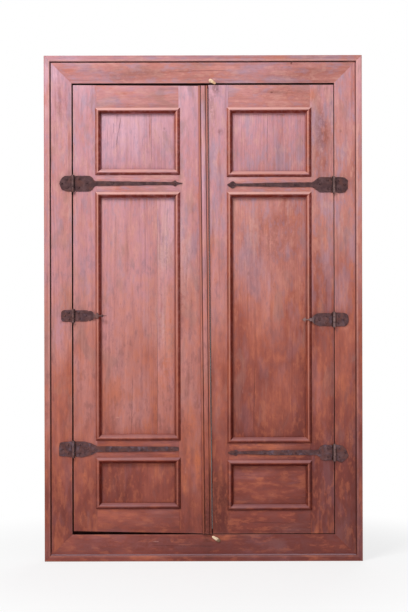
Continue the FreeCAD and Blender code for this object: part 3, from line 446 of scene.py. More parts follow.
# Soft patches on the face, by colour, the lowest layer first: X and Z of the middle, half the
# width, half the height, strength
PATCHES = {
    "deep": (
        (-260, 1612, 230, 40, 0.32), (393, 1420, 42, 170, 0.52), (58, 1418, 14, 16, 0.6),
        (40, 1470, 6, 50, 0.2), (50, 180, 34, 170, 0.75), (221, 1060, 110, 110, 0.34),
        (250, 1545, 150, 30, 0.32), (225, 950, 100, 100, 0.12), (-475, 1500, 50, 160, 0.26),
        (250, 1625, 240, 40, 0.2), (-146, 235, 45, 35, 0.25), (150, 240, 30, 45, 0.2),
        (393, 900, 32, 200, 0.22),
    ),
    "dust": (
        (-200, 52, 330, 40, 0.3), (230, 52, 280, 40, 0.2), (-210, 140, 140, 30, 0.16),
    ),
    "bleached": (
        (-125, 1080, 36, 190, 0.75), (-128, 800, 32, 170, 0.55), (-60, 1010, 28, 210, 0.5),
        (-20, 930, 12, 190, 0.25), (70, 1230, 12, 120, 0.3), (-420, 1100, 12, 190, 0.2),
        (-285, 1080, 22, 140, 0.22), (166, 1083, 24, 80, 0.45), (-466, 1389, 14, 120, 0.35),
    ),
    "rubbed": (
        (-445, 1625, 50, 22, 0.45), (-320, 1562, 55, 12, 0.45), (-460, 830, 18, 110, 0.5),
        (-112, 790, 24, 150, 0.6), (-150, 600, 50, 70, 0.25), (-330, 560, 20, 120, 0.3),
        (359, 1545, 16, 26, 0.6), (386, 842, 11, 30, 0.6), (318, 835, 10, 32, 0.55),
        (330, 690, 20, 50, 0.35), (482, 400, 20, 60, 0.55), (370, 410, 40, 20, 0.4),
        (190, 380, 130, 14, 0.5), (190, 347, 130, 10, 0.5), (-300, 377, 80, 12, 0.35),
        (-20, 330, 14, 85, 0.9), (-50, 345, 10, 60, 0.6), (-62, 243, 9, 26, 0.9),
        (-393, 275, 10, 36, 0.85), (-399, 140, 28, 30, 0.7), (-362, 150, 16, 20, 0.5),
        (-475, 262, 10, 45, 0.6), (-323, 118, 30, 12, 0.7), (57, 300, 14, 60, 0.4),
        (84, 120, 10, 32, 0.6), (167, 155, 14, 8, 0.4), (32, 1604, 10, 12, 0.55),
        (180, 760, 40, 110, 0.25), (-478, 380, 10, 80, 0.5), (250, 500, 60, 80, 0.2),
        (404, 1073, 9, 24, 0.6), (397, 881, 9, 38, 0.55), (297, 1126, 16, 28, 0.4),
        (211, 1097, 14, 32, 0.35), (469, 1132, 16, 55, 0.4), (42, 929, 9, 34, 0.6),
        (-268, 268, 11, 50, 0.55), (-316, 250, 14, 42, 0.3), (-187, 440, 15, 24, 0.65),
        (-105, 68, 8, 9, 0.6), (227, 219, 34, 16, 0.5), (186, 261, 16, 22, 0.4),
        (268, 281, 20, 28, 0.4), (217, 298, 34, 13, 0.35), (-45, 470, 36, 110, 0.55),
        (-128, 640, 30, 100, 0.58),
    ),
    "soil": (
        (-440, 1247, 56, 34, 0.35), (-442, 811, 47, 27, 0.35), (-438, 372, 56, 34, 0.4),
        (440, 1244, 56, 33, 0.35), (435, 797, 51, 30, 0.4), (435, 358, 56, 33, 0.4),
        (12, 100, 24, 170, 0.75), (52, 170, 36, 150, 0.54), (0, 50, 480, 34, 0.16),
        (-475, 170, 50, 130, 0.26), (475, 170, 50, 130, 0.18), (-100, 130, 50, 60, 0.14),
        (45, 1560, 34, 34, 0.6), (28, 1500, 14, 80, 0.42), (-35, 150, 40, 110, 0.2),
        (300, 50, 210, 34, 0.12),
    ),
    "grime_and_shade": (
        (-127, 1430, 4, 5, 0.7), (227, 1548, 7, 4, 0.75), (293, 1644, 3.5, 3.5, 0.8),
        (455, 1420, 4, 6, 0.5), (40, 1535, 4, 6, 0.55), (150, 950, 5, 9, 0.35),
        (-200, 250, 6, 3, 0.4), (330, 225, 4, 4, 0.4),
    ),
    "crest_wear_and_highlight": (
        (-282, 474, 9, 3, 0.6), (37, 1592, 8, 4, 0.6), (130, 560, 3, 10, 0.3),
        (-60, 300, 3, 12, 0.3), (-157, 65, 16, 2.2, 0.6),
    ),
}

# Painted light and shade on the panel mouldings, with some rub and dirt, by strip: bands from the
# outer edge inwards, what they carry, and how much of it at the door's foot and head. The light
# bands are painted highlights on slopes that face up or to the left; the darkest bands are painted
# shade with dirt on slopes that face down or to the right; the brown bands are partly painted
# shade.
STRIP_BANDS = {
    "left": ((0, 6, "brown", 0.55, 1), (6, 9, "light", 0.2, 0.75), (9, 11.4, "brown", 0.6, 1),
             (11.4, 19, "shade_and_dirt", 0.95, 1)),
    "right": ((0, 7.6, "shade_and_dirt", 0.85, 0.95), (7.6, 10.2, "brown", 0.5, 0.9),
              (10.2, 13.6, "light", 0.25, 0.7), (13.6, 18.6, "brown", 0.6, 1)),
    "foot": ((0, 7, "shade_and_dirt", 0.75, 0.95), (7, 10, "brown", 0, 0.5),
             (10, 19.5, "light", 0.6, 0.45)),
    "head": ((0, 8.2, "light", 0.65, 0.75), (8.2, 10.8, "brown", 0.5, 0.9),
             (10.8, 19, "shade_and_dirt", 0.95, 1)),
}
BAND_BLEND = 0.8

# Noise in the wood: scale, detail, roughness and twist
NOISES = {
    "field": (9.0, 2.0, 0.45, 0.5), "thread": (620.0, 3.0, 0.6), "streak": (85.0, 3.0, 0.55),
    "pores": (1400.0, 1.0), "patch": (6.0, 4.0, 0.6, 0.4), "cloud": (13.0, 3.0, 0.55, 0.8),
    "haze": (19.0, 3.0, 0.6), "rub": (12.0, 4.0, 0.65), "scuff": (70.0, 3.0, 0.6),
    "mottle": (62.0, 4.0, 0.7), "blotch": (26.0, 3.0, 0.6, 0.6), "smoke": (16.0, 4.0, 0.6, 0.6),
    "flecks": (150.0, 2.0, 0.7), "dents": (22.0, 2.0),
}


class Board:
    """A wooden piece's place, its own stretch of grain, and the noises that its paint shares."""

    def __init__(self, finish, node, grain, seed):
        self.finish = finish
        self.node = node
        self.low, self.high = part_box(node)
        self.middle = (self.low + self.high) / 2
        self.where = finish.here()
        self.x, self.y, self.z = finish.parts(self.where)
        self.along, self.across = (self.z, self.x) if grain == "Z" else (self.x, self.z)
        self.shift = seed * 1.731
        self.heart = self.middle.x if grain == "Z" else self.middle.z
        self.heart += 16.0 * MM * math.sin(seed * 2.3)
        self.arch_lean = 11.0 * math.cos(seed * 1.9)
        self.front = 1.0 - finish.parts(finish.here("Normal"))[1].step(0.2, 0.7)
        self.high_up = self.z.step(0.55, 1.35)

        fibres = self.drawn_out(0.045)
        self.field = self.noise("field", fibres)
        self.thread = self.noise("thread", fibres)
        self.streak = self.noise("streak", fibres)
        self.pores = self.noise("pores", fibres).step(0.66, 0.78)
        cloudy = self.drawn_out(0.38, 0.7, -1.0)
        self.patch = self.noise("patch", cloudy)
        self.cloud = self.noise("cloud", cloudy)
        self.scuff = self.noise("scuff", self.where)
        rub = self.noise("rub", self.drawn_out(0.35, 1.3, 0.0))
        self.rub = (rub + (self.streak - 0.5) * 0.3).step(0.57, 0.7)

    def drawn_out(self, share, across=1.0, along=1.0):
        """Coordinates stretched along the grain, moved by shares of the piece's own shift."""
        return self.finish.point(self.across + self.shift * across, self.y,
                                 self.along * share + self.shift * along)

    def noise(self, name, where):
        return self.finish.noise(where, *NOISES[name])

    def patches(self, rows, ragged, mode="most"):
        """The soft patches of a table that lie on the piece, as one mask, or None."""
        mask = None
        if self.node == "frame_pegs":
            return mask
        for *sizes, strength in rows:
            px, pz, rx, rz = (size * MM for size in sizes)
            if not (self.low.x - rx < px < self.high.x + rx
                    and self.low.z - rz < pz < self.high.z + rz):
                continue
            spread = self.finish.add("ShaderNodeMapping", None, {
                "Vector": self.where, "Location": (-px / rx, 0.0, -pz / rz),
                "Scale": (1.0 / rx, 0.0, 1.0 / rz)})
            far = self.finish.add("ShaderNodeVectorMath", {"operation": "LENGTH"}, {0: spread},
                                  "Value")
            blob = (far + ragged).step(1.15, 0.35) * strength
            if mask is None:
                mask = blob
            else:
                mask = mask + blob if mode == "sum" else mask.most(blob)
        return mask

    def cracks(self):
        """The piece's cracks as one mask, or None."""
        mask = None
        for start, end, width in CRACKS.get(self.node, ()):
            line = self.crack(start, end, width * MM)
            mask = line if mask is None else mask.most(line)
        return mask

    def crack(self, start, end, width):
        """A thin wandering line on the face."""
        start, end = Vector(start) * MM, Vector(end) * MM
        length = (end - start).length
        ux, uz = (end - start) / length
        x, z = self.x - start.x, self.z - start.y
        wander = self.finish.noise(self.finish.point(self.x, 0.0, self.z), 90.0) - 0.5
        off = abs(x * uz - z * ux + wander * (2.4 * MM))
        run = x * ux + z * uz
        ends = run.step(0.0, 0.2 * length) * run.step(length, 0.8 * length)
        return off.step(width * 1.6, width * 0.4) * ends


def stain_with_painted_sheen(board, wood):
    """The stain, paler up the door and to the left, partly painted sheen and painted light, under
    clouds, bloom with painted sheen, rubs and smoke.
    """
    finish, z, high_up = board.finish, board.z, board.high_up
    tone = z - board.x * 0.5 + TONES.get(board.node, 0.0)
    tone = tone + (board.patch - 0.5) * 1.15 + (board.cloud - 0.5) * 0.75
    clouds = board.patches(CLOUDS, (board.patch - 0.5) * 1.5, "sum")
    if clouds is not None:
        tone = tone + clouds
    # The tone ramp: its pale rose and lilac end, high up and to the left, is partly painted sheen
    # and painted light; it turns darker towards the bottom
    stain = finish.ramp(((0.0, wood.darkest), (0.14, wood.dark), (0.305, wood.stain),
                         (0.53, wood.clouded), (0.8, wood.rose), (1.0, wood.lilac)), tone / 1.8)
    # Painted sheen: a pale bluish bloom, stronger high up
    haze = board.noise("haze", board.drawn_out(0.3, -1.0)).step(0.52, 0.66)
    stain = finish.mix(haze * (high_up * 0.5 + 0.1), stain, wood.haze)
    stain = finish.mix(board.rub * 0.45, stain, wood.rubbed)
    mottle = board.noise("mottle", board.drawn_out(0.33, -1.0, -1.0)) * 0.6
    mottle = mottle + board.noise("blotch", board.drawn_out(0.6, 1.0, 0.0)) * 0.4
    bare = finish.mix(high_up, wood.rubbed, wood.crest_wear_and_highlight)
    # Dull patches: dark streaks low down, bloom with painted sheen high up
    dull = finish.mix(high_up, wood.smoke_low, wood.haze)
    stain = finish.mix(mottle.step(0.5, 0.61) * (high_up * 0.06 + 0.34), stain, bare)
    stain = finish.mix(mottle.step(0.5, 0.38) * (high_up * 0.16 + 0.36), stain, dull)
    smoke = board.noise("smoke", board.drawn_out(0.4, 2.1)).step(0.53, 0.66)
    return finish.mix(smoke * (z.step(0.3, 0.8) * 0.3 + 0.12), stain, wood.smoke)


def patched(board, wood, stain):
    """Patches of wear and dirt, ragged and broken by the grain under them."""
    streak, scuff = board.streak, board.scuff
    ragged = (board.cloud - 0.5) * 2.0 + (streak - 0.5) * 2.2 + (scuff - 0.5) * 2.2
    worn_through = (streak * 0.5 + scuff * 0.5).step(0.44, 0.55) * 0.75 + 0.25
    for colour, rows in PATCHES.items():
        mask = board.patches(rows, ragged)
        if mask is not None:
            stain = board.finish.mix(mask * worn_through * board.front, stain,
                                     getattr(wood, colour))
    return stain


def joint_dirt_and_shadow(board, wood, stain, share):
    """Darkens an edge of the joint with painted shadow and dirt, dirt-coloured low on the door and
    dark red higher up.
    """
    colour = board.finish.mix(board.high_up, wood.grime_and_shade, wood.joint)
    return board.finish.mix(share * 0.95, stain, colour)


def from_joint(board):
    """How far to the right of the post's far edge a point is."""
    return board.x - POST_EDGE + (board.z - MID_HEIGHT) * JOINT_LEAN


def beaded_post(board, wood, stain):
    """Handled beads along the closing post, painted shade in the bed between them, and painted
    shadow with dirt at its far edge.
    """
    finish, z = board.finish, board.z
    near = from_joint(board) + POST_WIDTH
    far = POST_WIDTH - near
    for side, share in ((near, board.high_up * 0.5 + 0.25), (far, z.step(0.3, 1.2) * 0.5 + 0.15)):
        bead = side.step(BEAD_WIDTH + 0.4 * MM, BEAD_WIDTH - 0.4 * MM)
        stain = finish.mix(bead * share, stain, wood.handled)
    stain = joint_dirt_and_shadow(board, wood, stain, far.step(2.6 * MM, 1.6 * MM))
    bed = board.y.step(QUIRK_BED_Y - 2.0 * MM, QUIRK_BED_Y)
    for side in (near, far):
        bed = bed * side.step(BEAD_WIDTH - 0.8 * MM, BEAD_WIDTH - 0.2 * MM)
    return finish.mix(bed, stain, wood.grime_and_shade)


def worn_edges(board, wood, stain, bright):
    """Pale wear along the edges of the opening, stronger high up and on the left, partly a painted
    highlight.
    """
    x, z = board.x, board.z
    side = abs(abs(x) - OPENING_SIDE) + z.step(OPENING_FOOT - 1.5 * MM, OPENING_FOOT - 4.5 * MM)
    side = side + z.step(OPENING_HEAD + 3.0 * MM, OPENING_HEAD + 6.0 * MM)
    level = abs(z - OPENING_HEAD).least(abs(z - OPENING_FOOT))
    level = level + abs(x).step(OPENING_SIDE + 1.5 * MM, OPENING_SIDE + 4.5 * MM)
    worn = (side.least(level) + board.scuff * (5.0 * MM)).step(8.0 * MM, 4.5 * MM)
    share = worn * board.front * bright * (1.0 - x.step(0.2, 0.4) * 0.8)
    return board.finish.mix(share * 0.32, stain, wood.crest_wear_and_highlight)


def edge_lines(board, wood, stain, inward, bright):
    """A pale ridge line, worn and partly a painted highlight, and a brown outer edge along the
    frame's edge moulding.
    """
    crest_wear_and_highlight = inward.step(12.5 * MM, 15.0 * MM) * bright
    share = board.scuff.step(0.2, 0.6) * 0.35 + 0.12
    stain = board.finish.mix(crest_wear_and_highlight * share, stain, wood.crest_wear_and_highlight)
    return board.finish.mix(inward.step(4.5 * MM, 1.5 * MM) * 0.35, stain, wood.handled)


def panel_rim_dirt_and_shade(board, wood, stain):
    """Dirt and painted shade along the panel's edge, inside the moulding, where its shadow falls.
    """
    left, right = PANEL_SIDES["left" if board.middle.x < 0.0 else "right"]
    side = (board.x - left).least(right - board.x)
    level = (board.z - board.low.z - PANEL_TONGUE).least(board.high.z - PANEL_TONGUE - board.z)
    return board.finish.mix(side.least(level).step(18.0 * MM, 14.0 * MM) * 0.4, stain, wood.grime_and_shade)


def gaps_grime_and_shade(board, wood, stain, inward, kind):
    """Grime and painted shade below the face, in gaps, rebates and grooves; dust in the sill's
    groove.
    """
    x, z = board.x, board.z
    face = board.low.y if kind == "panel" else max(board.low.y, FACE_Y)
    below = board.y.step(face + 0.6 * MM, face + 2.4 * MM)
    groove = inward.step(26.0 * MM, 24.5 * MM)
    light = groove * (x.step(0.46, 0.49) * 0.75).most(z.step(34.0 * MM, 25.0 * MM))
    within = abs(x).step(FRAME_SIDE - 7.0 * MM, FRAME_SIDE - 20.0 * MM)
    within = within * z.step(6.0 * MM, 20.0 * MM)
    within = within * z.step(FRAME_HEAD - 6.0 * MM, FRAME_HEAD - 20.0 * MM)
    # Painted shade with dirt below the face, weaker in the right-hand and sill grooves
    grime_and_shade_share = below * within * board.front * (0.97 - light * 0.85)
    stain = board.finish.mix(grime_and_shade_share, stain, wood.grime_and_shade)
    if board.node == "frame_sill":
        stain = board.finish.mix(groove * below * 0.92, stain, wood.groove_dust)
    return stain


def band_stops(bands, end, wood):
    """Ramp stops across a strip: what its bands leave of the stain, which is painted shade, and
    where the painted highlight lies.
    """
    kept, lit = [], []
    for start, stop, film, *shares in bands:
        share = shares[end]
        left = WHITE[:3] if film == "light" else getattr(wood, film)[:3]
        colour = [1.0 + (part - 1.0) * share for part in left] + [1.0]
        level = share if film == "light" else 0.0
        for place in (start + BAND_BLEND, stop - BAND_BLEND):
            kept.append((place * MM / STRIP_WIDTH, colour))
            lit.append((place * MM / STRIP_WIDTH, (level, level, level, 1.0)))
    return kept + [(1.0, WHITE)], lit + [(1.0, (0.0, 0.0, 0.0, 1.0))]


def strip_light_shade_and_wear(board, wood, stain):
    """Bands of painted highlight and painted shade, partly rub and dirt, along the four strips of
    a panel moulding.
    """
    finish, x, z, low, high = board.finish, board.x, board.z, board.low, board.high
    reaches = {"left": x - low.x, "right": high.x - x, "foot": z - low.z, "head": high.z - z}
    height = z.step(0.2, 1.35)
    # Painted highlight on the level strips' up-facing slopes, with dust low on the door
    ledge_dust_and_highlight = finish.mix(height, wood.dust, wood.crest_wear_and_highlight)
    broken = board.scuff.step(0.2, 0.6) * 0.3 + 0.7
    side = reaches["left"].least(reaches["right"])
    level = reaches["foot"].least(reaches["head"])
    upright = (level - side).step(-0.15 * MM, 0.15 * MM)
    for strip, bands in STRIP_BANDS.items():
        stands = strip in ("left", "right")
        here = upright if stands else 1.0 - upright
        here = here * (reaches[strip] - (side if stands else level)).step(0.15 * MM, 0.0)
        across = reaches[strip] / STRIP_WIDTH
        ends = [band_stops(bands, end, wood) for end in (0, 1)]
        kept, lit = ([finish.ramp(stops, across) for stops in pair] for pair in zip(*ends))
        # Painted shade darkens the bands; then the painted highlight is laid on
        stain = finish.mix(here * broken, stain, finish.mix(height, *kept), "MULTIPLY")
        share = finish.parts(finish.mix(height, *lit))[0] * here * broken
        stain = finish.mix(share, stain, wood.rub_and_highlight if stands else ledge_dust_and_highlight)
    return stain


def wood_finish(name, node, grain, seed, kind):
    """Stained wood. grain is the axis it runs along; kind is board, edge, panel, post or trim."""
    wood = settings().wood
    finish = Finish(bpy.data.materials.new(name))
    board = Board(finish, node, grain, seed)
    thread, streak, pores = board.thread, board.streak, board.pores
    stain = patched(board, wood, stain_with_painted_sheen(board, wood))

    # The figure and the pores darken the stain
    from_heart = board.across - board.heart
    arches = from_heart * from_heart * 5200.0 - board.along * board.arch_lean
    rings = (arches + board.field * 60.0).sine() * 0.5 + 0.5
    lines = rings * 0.1 + thread.step(0.4, 0.7) * 0.17 + streak.step(0.5, 0.72) * 0.2
    stain = finish.mix(lines, stain, wood.deep)
    stain = finish.mix(pores * 0.35, stain, wood.grime_and_shade)
    flecks = board.noise("flecks", board.drawn_out(0.25, 0.0)).step(0.68, 0.76)
    stain = finish.mix(flecks * 0.25, stain, wood.deep)

    # Worn edges with painted highlights, dirty joints with painted shadow, and painted shade in
    # gaps
    if kind == "trim":
        stain = strip_light_shade_and_wear(board, wood, stain)
    else:
        if kind == "post":
            stain = beaded_post(board, wood, stain)
        # Painted shadow with dirt on the right stile's edge next to the post
        if node == "right_meeting_stile":
            stain = joint_dirt_and_shadow(board, wood, stain, from_joint(board).step(3.0 * MM, 1.9 * MM))
        # Painted light level: the pale wear and ridge lines grow stronger higher up the door
        bright = board.z.step(0.1, 1.25) * 0.75 + 0.25
        inward = (FRAME_SIDE - abs(board.x)).least(board.z.least(FRAME_HEAD - board.z))
        stain = worn_edges(board, wood, stain, bright)
        if kind == "edge":
            stain = edge_lines(board, wood, stain, inward, bright)
        if kind == "panel":
            stain = panel_rim_dirt_and_shade(board, wood, stain)
        stain = gaps_grime_and_shade(board, wood, stain, inward, kind)
    height = thread * 0.35 + rings * 0.35 + streak * 0.5 - pores * 0.8
    cracks = board.cracks()
    if cracks is not None:
        stain = finish.mix(cracks * 0.8, stain, wood.grime_and_shade)
        height = height - cracks * 3.0

    # The back is left raw
    back = 1.0 - board.front
    raw = finish.mix(lines * 1.4, wood.raw, wood.grime_and_shade)
    stain = finish.mix(back * 0.85, stain, raw)

    normal = finish.bump(height, 0.22 * MM, 0.8)
    normal = finish.bump(board.noise("dents", board.where), 1.6 * MM, 0.35, normal)
    rough = wood.gloss + (board.cloud - 0.5) * 0.35 + streak * 0.1 + board.rub * 0.12
    return finish.principled({"Base Color": stain, "Roughness": rough + back * 0.3,
                              "Normal": normal, "Specular IOR Level": 0.16})


def dress_wood(node, grain, seed, kind, name=None):
    """A wooden piece with eased arrises and its own stretch of grain."""
    name = name or node + "_wood"
    wood = settings().wood
    arris = {"board": wood.board_arris, "panel": wood.board_arris / 2}.get(kind, wood.trim_arris)
    piece = copy_node(node, name, kind == "trim")
    ease_edges(piece, arris, 2, 35)
    shade_smooth(piece, 32)
    finish_piece(piece, node, wood_finish(name, node, grain, seed, kind))


FRAME_SIDES = (("head", "X"), ("sill", "X"), ("left", "Z"), ("right", "Z"))


class DOOR_OT_frame(bpy.types.Operator):
    """Finish the frame's head, sill, jambs and pegs"""
    bl_idname = "cupboard_door.frame"
    bl_label = "Frame"

    def execute(self, context):
        for seed, (side, grain) in enumerate(FRAME_SIDES, 1):
            node = f"frame_{side}_jamb" if grain == "Z" else f"frame_{side}"
            dress_wood(node, grain, seed, "board")
        dress_wood("frame_pegs", "X", 7, "board", "frame_peg_ends")
        return {"FINISHED"}


class DOOR_OT_edge_moulding(bpy.types.Operator):
    """Finish the raised moulding along the frame's outer edge"""
    bl_idname = "cupboard_door.edge_moulding"
    bl_label = "Edge moulding"

    def execute(self, context):
        for seed, (side, grain) in enumerate(FRAME_SIDES, 11):
            dress_wood(f"edge_mould_{side}", grain, seed, "edge",
                       f"edge_moulding_{side}")
        return {"FINISHED"}


class DOOR_OT_leaves(bpy.types.Operator):
    """Finish the stiles and rails of both leaves and the closing post"""
    bl_idname = "cupboard_door.leaves"
    bl_label = "Leaves"

    def execute(self, context):
        members = [f"{side}_{part}" for side in ("left", "right") for part in (
            "hinge_stile", "meeting_stile", "top_rail", "upper_rail", "lower_rail", "bottom_rail")]
        for seed, node in enumerate(members, 21):
            grain = "Z" if node.endswith("stile") else "X"
            dress_wood(node, grain, seed, "board")
        dress_wood("left_closing_post", "Z", 40, "post")
        return {"FINISHED"}


class DOOR_OT_panels(bpy.types.Operator):
    """Finish the panels"""
    bl_idname = "cupboard_door.panels"
    bl_label = "Panels"

    def execute(self, context):
        nodes = ("left_top_panel", "left_middle_panel_outer_board",
                 "left_middle_panel_inner_board", "left_bottom_panel", "right_top_panel",
                 "right_middle_panel", "right_bottom_panel")
        for seed, node in enumerate(nodes, 51):
            grain = "X" if node == "right_bottom_panel" else "Z"
            dress_wood(node, grain, seed, "panel")
        return {"FINISHED"}


class DOOR_OT_panel_mouldings(bpy.types.Operator):
    """Finish the mouldings round the panels"""
    bl_idname = "cupboard_door.panel_mouldings"
    bl_label = "Panel mouldings"

    def execute(self, context):
        bays = [f"{side}_{bay}" for side in ("left", "right")
                for bay in ("top", "middle", "bottom")]
        for seed, bay in enumerate(bays, 71):
            grain = "Z" if bay.endswith("middle") else "X"
            dress_wood(f"{bay}_moulding", grain, seed, "trim")
        return {"FINISHED"}


# Iron
def iron_finish(name):
    """Hand-forged iron: dark scale, worn high spots, rust and ash, with painted shade high up and
    next to the knuckles and a painted highlight on the knuckles.
    """
    iron = settings().iron
    finish = Finish(bpy.data.materials.new(name))
    where = finish.here()
    x, y, z = finish.parts(where)
    mottle = finish.noise(where, 70.0, 4.0, 0.65)
    fine = finish.noise(where, 420.0, 3.0, 0.6)
    rusty = finish.noise(where, 38.0, 4.0, 0.6, 0.8)
    worn = (mottle + fine * 0.3).step(0.52, 0.84)
    colour = finish.mix(worn, iron.scale_colour, iron.worn_colour)
    colour = finish.mix(rusty.step(0.48, 0.66) * 0.7, colour, iron.rust)
    # Ash bloom, stronger low down, and painted shade high up: the iron is paler towards the bottom
    # and darker towards the top, standing in for how the light falls
    colour = finish.mix(rusty.step(0.48, 0.34) * z.step(1.4, 0.3) * 0.7, colour, iron.ash)
    colour = finish.mix(z.step(0.9, 1.35) * 0.25, colour, iron.shade_and_dirt)

    # Knuckles stand proud and get a painted highlight over rubbed iron, stronger on the right-hand
    # hinges; the plates next to them get painted shade with dirt
    knuckle = y.step(FACE_Y - 5.0 * MM, FACE_Y - 8.0 * MM)
    shine = (mottle.step(0.3, 0.7) * 0.4 + 0.25) * (x.step(-0.2, 0.2) * 0.65 + 0.35)
    colour = finish.mix(knuckle * shine, colour, iron.rubbed)
    turned = finish.parts(finish.here("Normal"))[0] * x * -2.3
    shade_beside_knuckles = turned.step(0.15, 0.55) * y.step(FACE_Y - 3.0 * MM, FACE_Y - 3.8 * MM)
    colour = finish.mix(shade_beside_knuckles * 0.9, colour, iron.shade_and_dirt)

    facets = finish.add("ShaderNodeTexVoronoi", {"feature": "SMOOTH_F1"},
                        {"Vector": where, "Scale": 105.0, "Smoothness": 0.6})
    normal = finish.bump(facets, 1.1 * MM, 0.5)
    normal = finish.bump(fine * 0.6 + mottle * 0.4, 0.3 * MM, 0.7, normal)
    return finish.principled({"Base Color": colour, "Roughness": mottle * 0.25 + 0.52,
                              "Metallic": 0.3, "Specular IOR Level": 0.22, "Normal": normal})


def cell_noise(name, size):
    """A cloud texture that dents a surface."""
    texture = bpy.data.textures.get(name)
    if texture is None:
        texture = bpy.data.textures.new(name, "CLOUDS")
        texture.noise_scale = size
        texture.noise_depth = 1
    return texture


def group_face(piece):
    """Puts the points that the hammer reaches, all but the knuckles', into a vertex group."""
    pick(piece)
    for point in piece.data.vertices:
        point.select = point.co.y > FACE_Y - KNUCKLE_CLEAR
    for part in (*piece.data.edges, *piece.data.polygons):
        part.select = False
    bpy.ops.object.mode_set(mode="EDIT")
    bpy.ops.object.vertex_group_add()
    piece.vertex_groups.active.name = "hammered"
    bpy.ops.object.vertex_group_assign()
    bpy.ops.mesh.select_all(action="DESELECT")
    bpy.ops.object.mode_set(mode="OBJECT")


def forge(node, name):
    """An iron piece with soft hammered edges and a dented face, its knuckles left true."""
    iron = settings().iron
    piece = copy_node(node, name)
    apply_modifier(piece, "REMESH", mode="VOXEL", voxel_size=iron.grain)
    apply_modifier(piece, "SMOOTH", iterations=4)
    group_face(piece)
    for texture, size, depth in (("hammering", 11.0 * MM, iron.dent),
                                 ("pitting", 3.4 * MM, iron.pit)):
        apply_modifier(piece, "DISPLACE", texture=cell_noise(texture, size), strength=depth,
                       texture_coords="LOCAL", vertex_group="hammered")
    pick(piece)
    bpy.ops.object.vertex_group_remove(all=True)
    bpy.ops.object.shade_smooth()
    return piece


class DOOR_OT_hinges(bpy.types.Operator):
    """Forge the straps and the frame plates of the hinges"""
    bl_idname = "cupboard_door.hinges"
    bl_label = "Strap hinges"

    def execute(self, context):
        iron = shared_finish("forged_iron", iron_finish)
        for side in ("left", "right"):
            for level in ("top", "middle", "bottom"):
                for part in ("strap", "frame_plate"):
                    node = f"{side}_{level}_{part}"
                    finish_piece(forge(node, "forged_" + node), node, iron)
        return {"FINISHED"}


class DOOR_OT_pins_and_nails(bpy.types.Operator):
    """Round the hinge pins and the rose-headed nails"""
    bl_idname = "cupboard_door.pins_and_nails"
    bl_label = "Pins and nails"

    def execute(self, context):
        iron = shared_finish("forged_iron", iron_finish)
        for node, width in (("left_hinge_pins", 0.5), ("right_hinge_pins", 0.5),
                            ("frame_plate_nails", 0.4), ("left_strap_nails", 0.4),
                            ("right_strap_nails", 0.4)):
            piece = copy_node(node, "forged_" + node)
            ease_edges(piece, width * MM, 2, 20)
            shade_smooth(piece, 40)
            finish_piece(piece, node, iron)
        return {"FINISHED"}


# Brass
def past_screw(x, z, screw):
    """How far a point lies to the lower right of a screw."""
    return x - z - (screw[0] - screw[1])


def brass_finish(name):
    """Pale cast brass, dull in its hollows, with painted shade at the lower right end of each
    button.
    """
    brass = settings().brass
    finish = Finish(bpy.data.materials.new(name))
    where = finish.here()
    x, _, z = finish.parts(where)
    mottle = finish.noise(where, 260.0, 4.0, 0.6)
    fine = finish.noise(where, 1500.0)
    upper = z.step(0.7, 0.9)
    # Painted shade on the buttons' lower right ends: the top button's lower end turns dull, the
    # bottom button's end brown
    tail_shade = past_screw(x, z, TOP_SCREW).step(2.0 * MM, 16.0 * MM) * upper
    colour = finish.mix((mottle.step(0.4, 0.68) * 0.6).most(tail_shade * 0.8), brass.bright, brass.dull)
    boss_shade = past_screw(x, z, BOTTOM_SCREW).step(-14.0 * MM, -2.0 * MM) * (1.0 - upper)
    colour = finish.mix(boss_shade * 0.9, colour, brass.end_shade)
    normal = finish.bump(mottle + fine * 0.3, 0.15 * MM, 0.6)
    return finish.principled({"Base Color": colour, "Roughness": mottle * 0.25 + 0.26,
                              "Metallic": 0.75, "Normal": normal})


class DOOR_OT_buttons(bpy.types.Operator):
    """Round the cast turn buttons"""
    bl_idname = "cupboard_door.buttons"
    bl_label = "Turn buttons"

    def execute(self, context):
        brass = shared_finish("pale_brass", brass_finish)
        for place in ("top", "bottom"):
            node = f"{place}_turn_button"
            piece = copy_node(node, f"cast_{place}_button")
            apply_modifier(piece, "REMESH", mode="VOXEL", voxel_size=settings().brass.grain)
            apply_modifier(piece, "SMOOTH", iterations=8)
            pick(piece)
            bpy.ops.object.shade_smooth()
            finish_piece(piece, node, brass)
        return {"FINISHED"}


class DOOR_OT_screws(bpy.types.Operator):
    """Round and slot the screws that hold the buttons"""
    bl_idname = "cupboard_door.screws"
    bl_label = "Button screws"

    def execute(self, context):
        brass = shared_finish("pale_brass", brass_finish)
        node = "button_screws"
        piece = copy_node(node, "slotted_button_screws")
        ease_edges(piece, 0.5 * MM, 3, 25)
        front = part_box(node)[0].y
        for x, z, turn in (TOP_SCREW, BOTTOM_SCREW):
            pick()
            bpy.ops.mesh.primitive_cube_add(size=1.0, location=(x, front, z))
            cutter = bpy.context.object
            cutter.scale = SLOT_SIZE
            cutter.rotation_euler = (0.0, math.radians(turn), 0.0)
            apply_modifier(piece, "BOOLEAN", operation="DIFFERENCE", object=cutter,
                           solver="EXACT")
            bpy.data.objects.remove(cutter, do_unlink=True)
        shade_smooth(piece, 35)
        finish_piece(piece, node, brass)
        return {"FINISHED"}


# Stage
# Lamps: name, place, height that it is aimed at, side, setting of its power, colour
LAMPS = (
    ("key_lamp", (-1.5, -2.7, 3.9), 0.95, 1.4, "key_power", (1.0, 0.97, 0.96)),
    ("fill_lamp", (2.4, -3.2, 1.2), 0.8, 1.5, "fill_power", (1.0, 0.98, 0.96)),
    ("back_lamp", (0.8, 3.4, 2.6), 0.8, 2.0, "back_power", (1.0, 0.99, 0.97)),
)


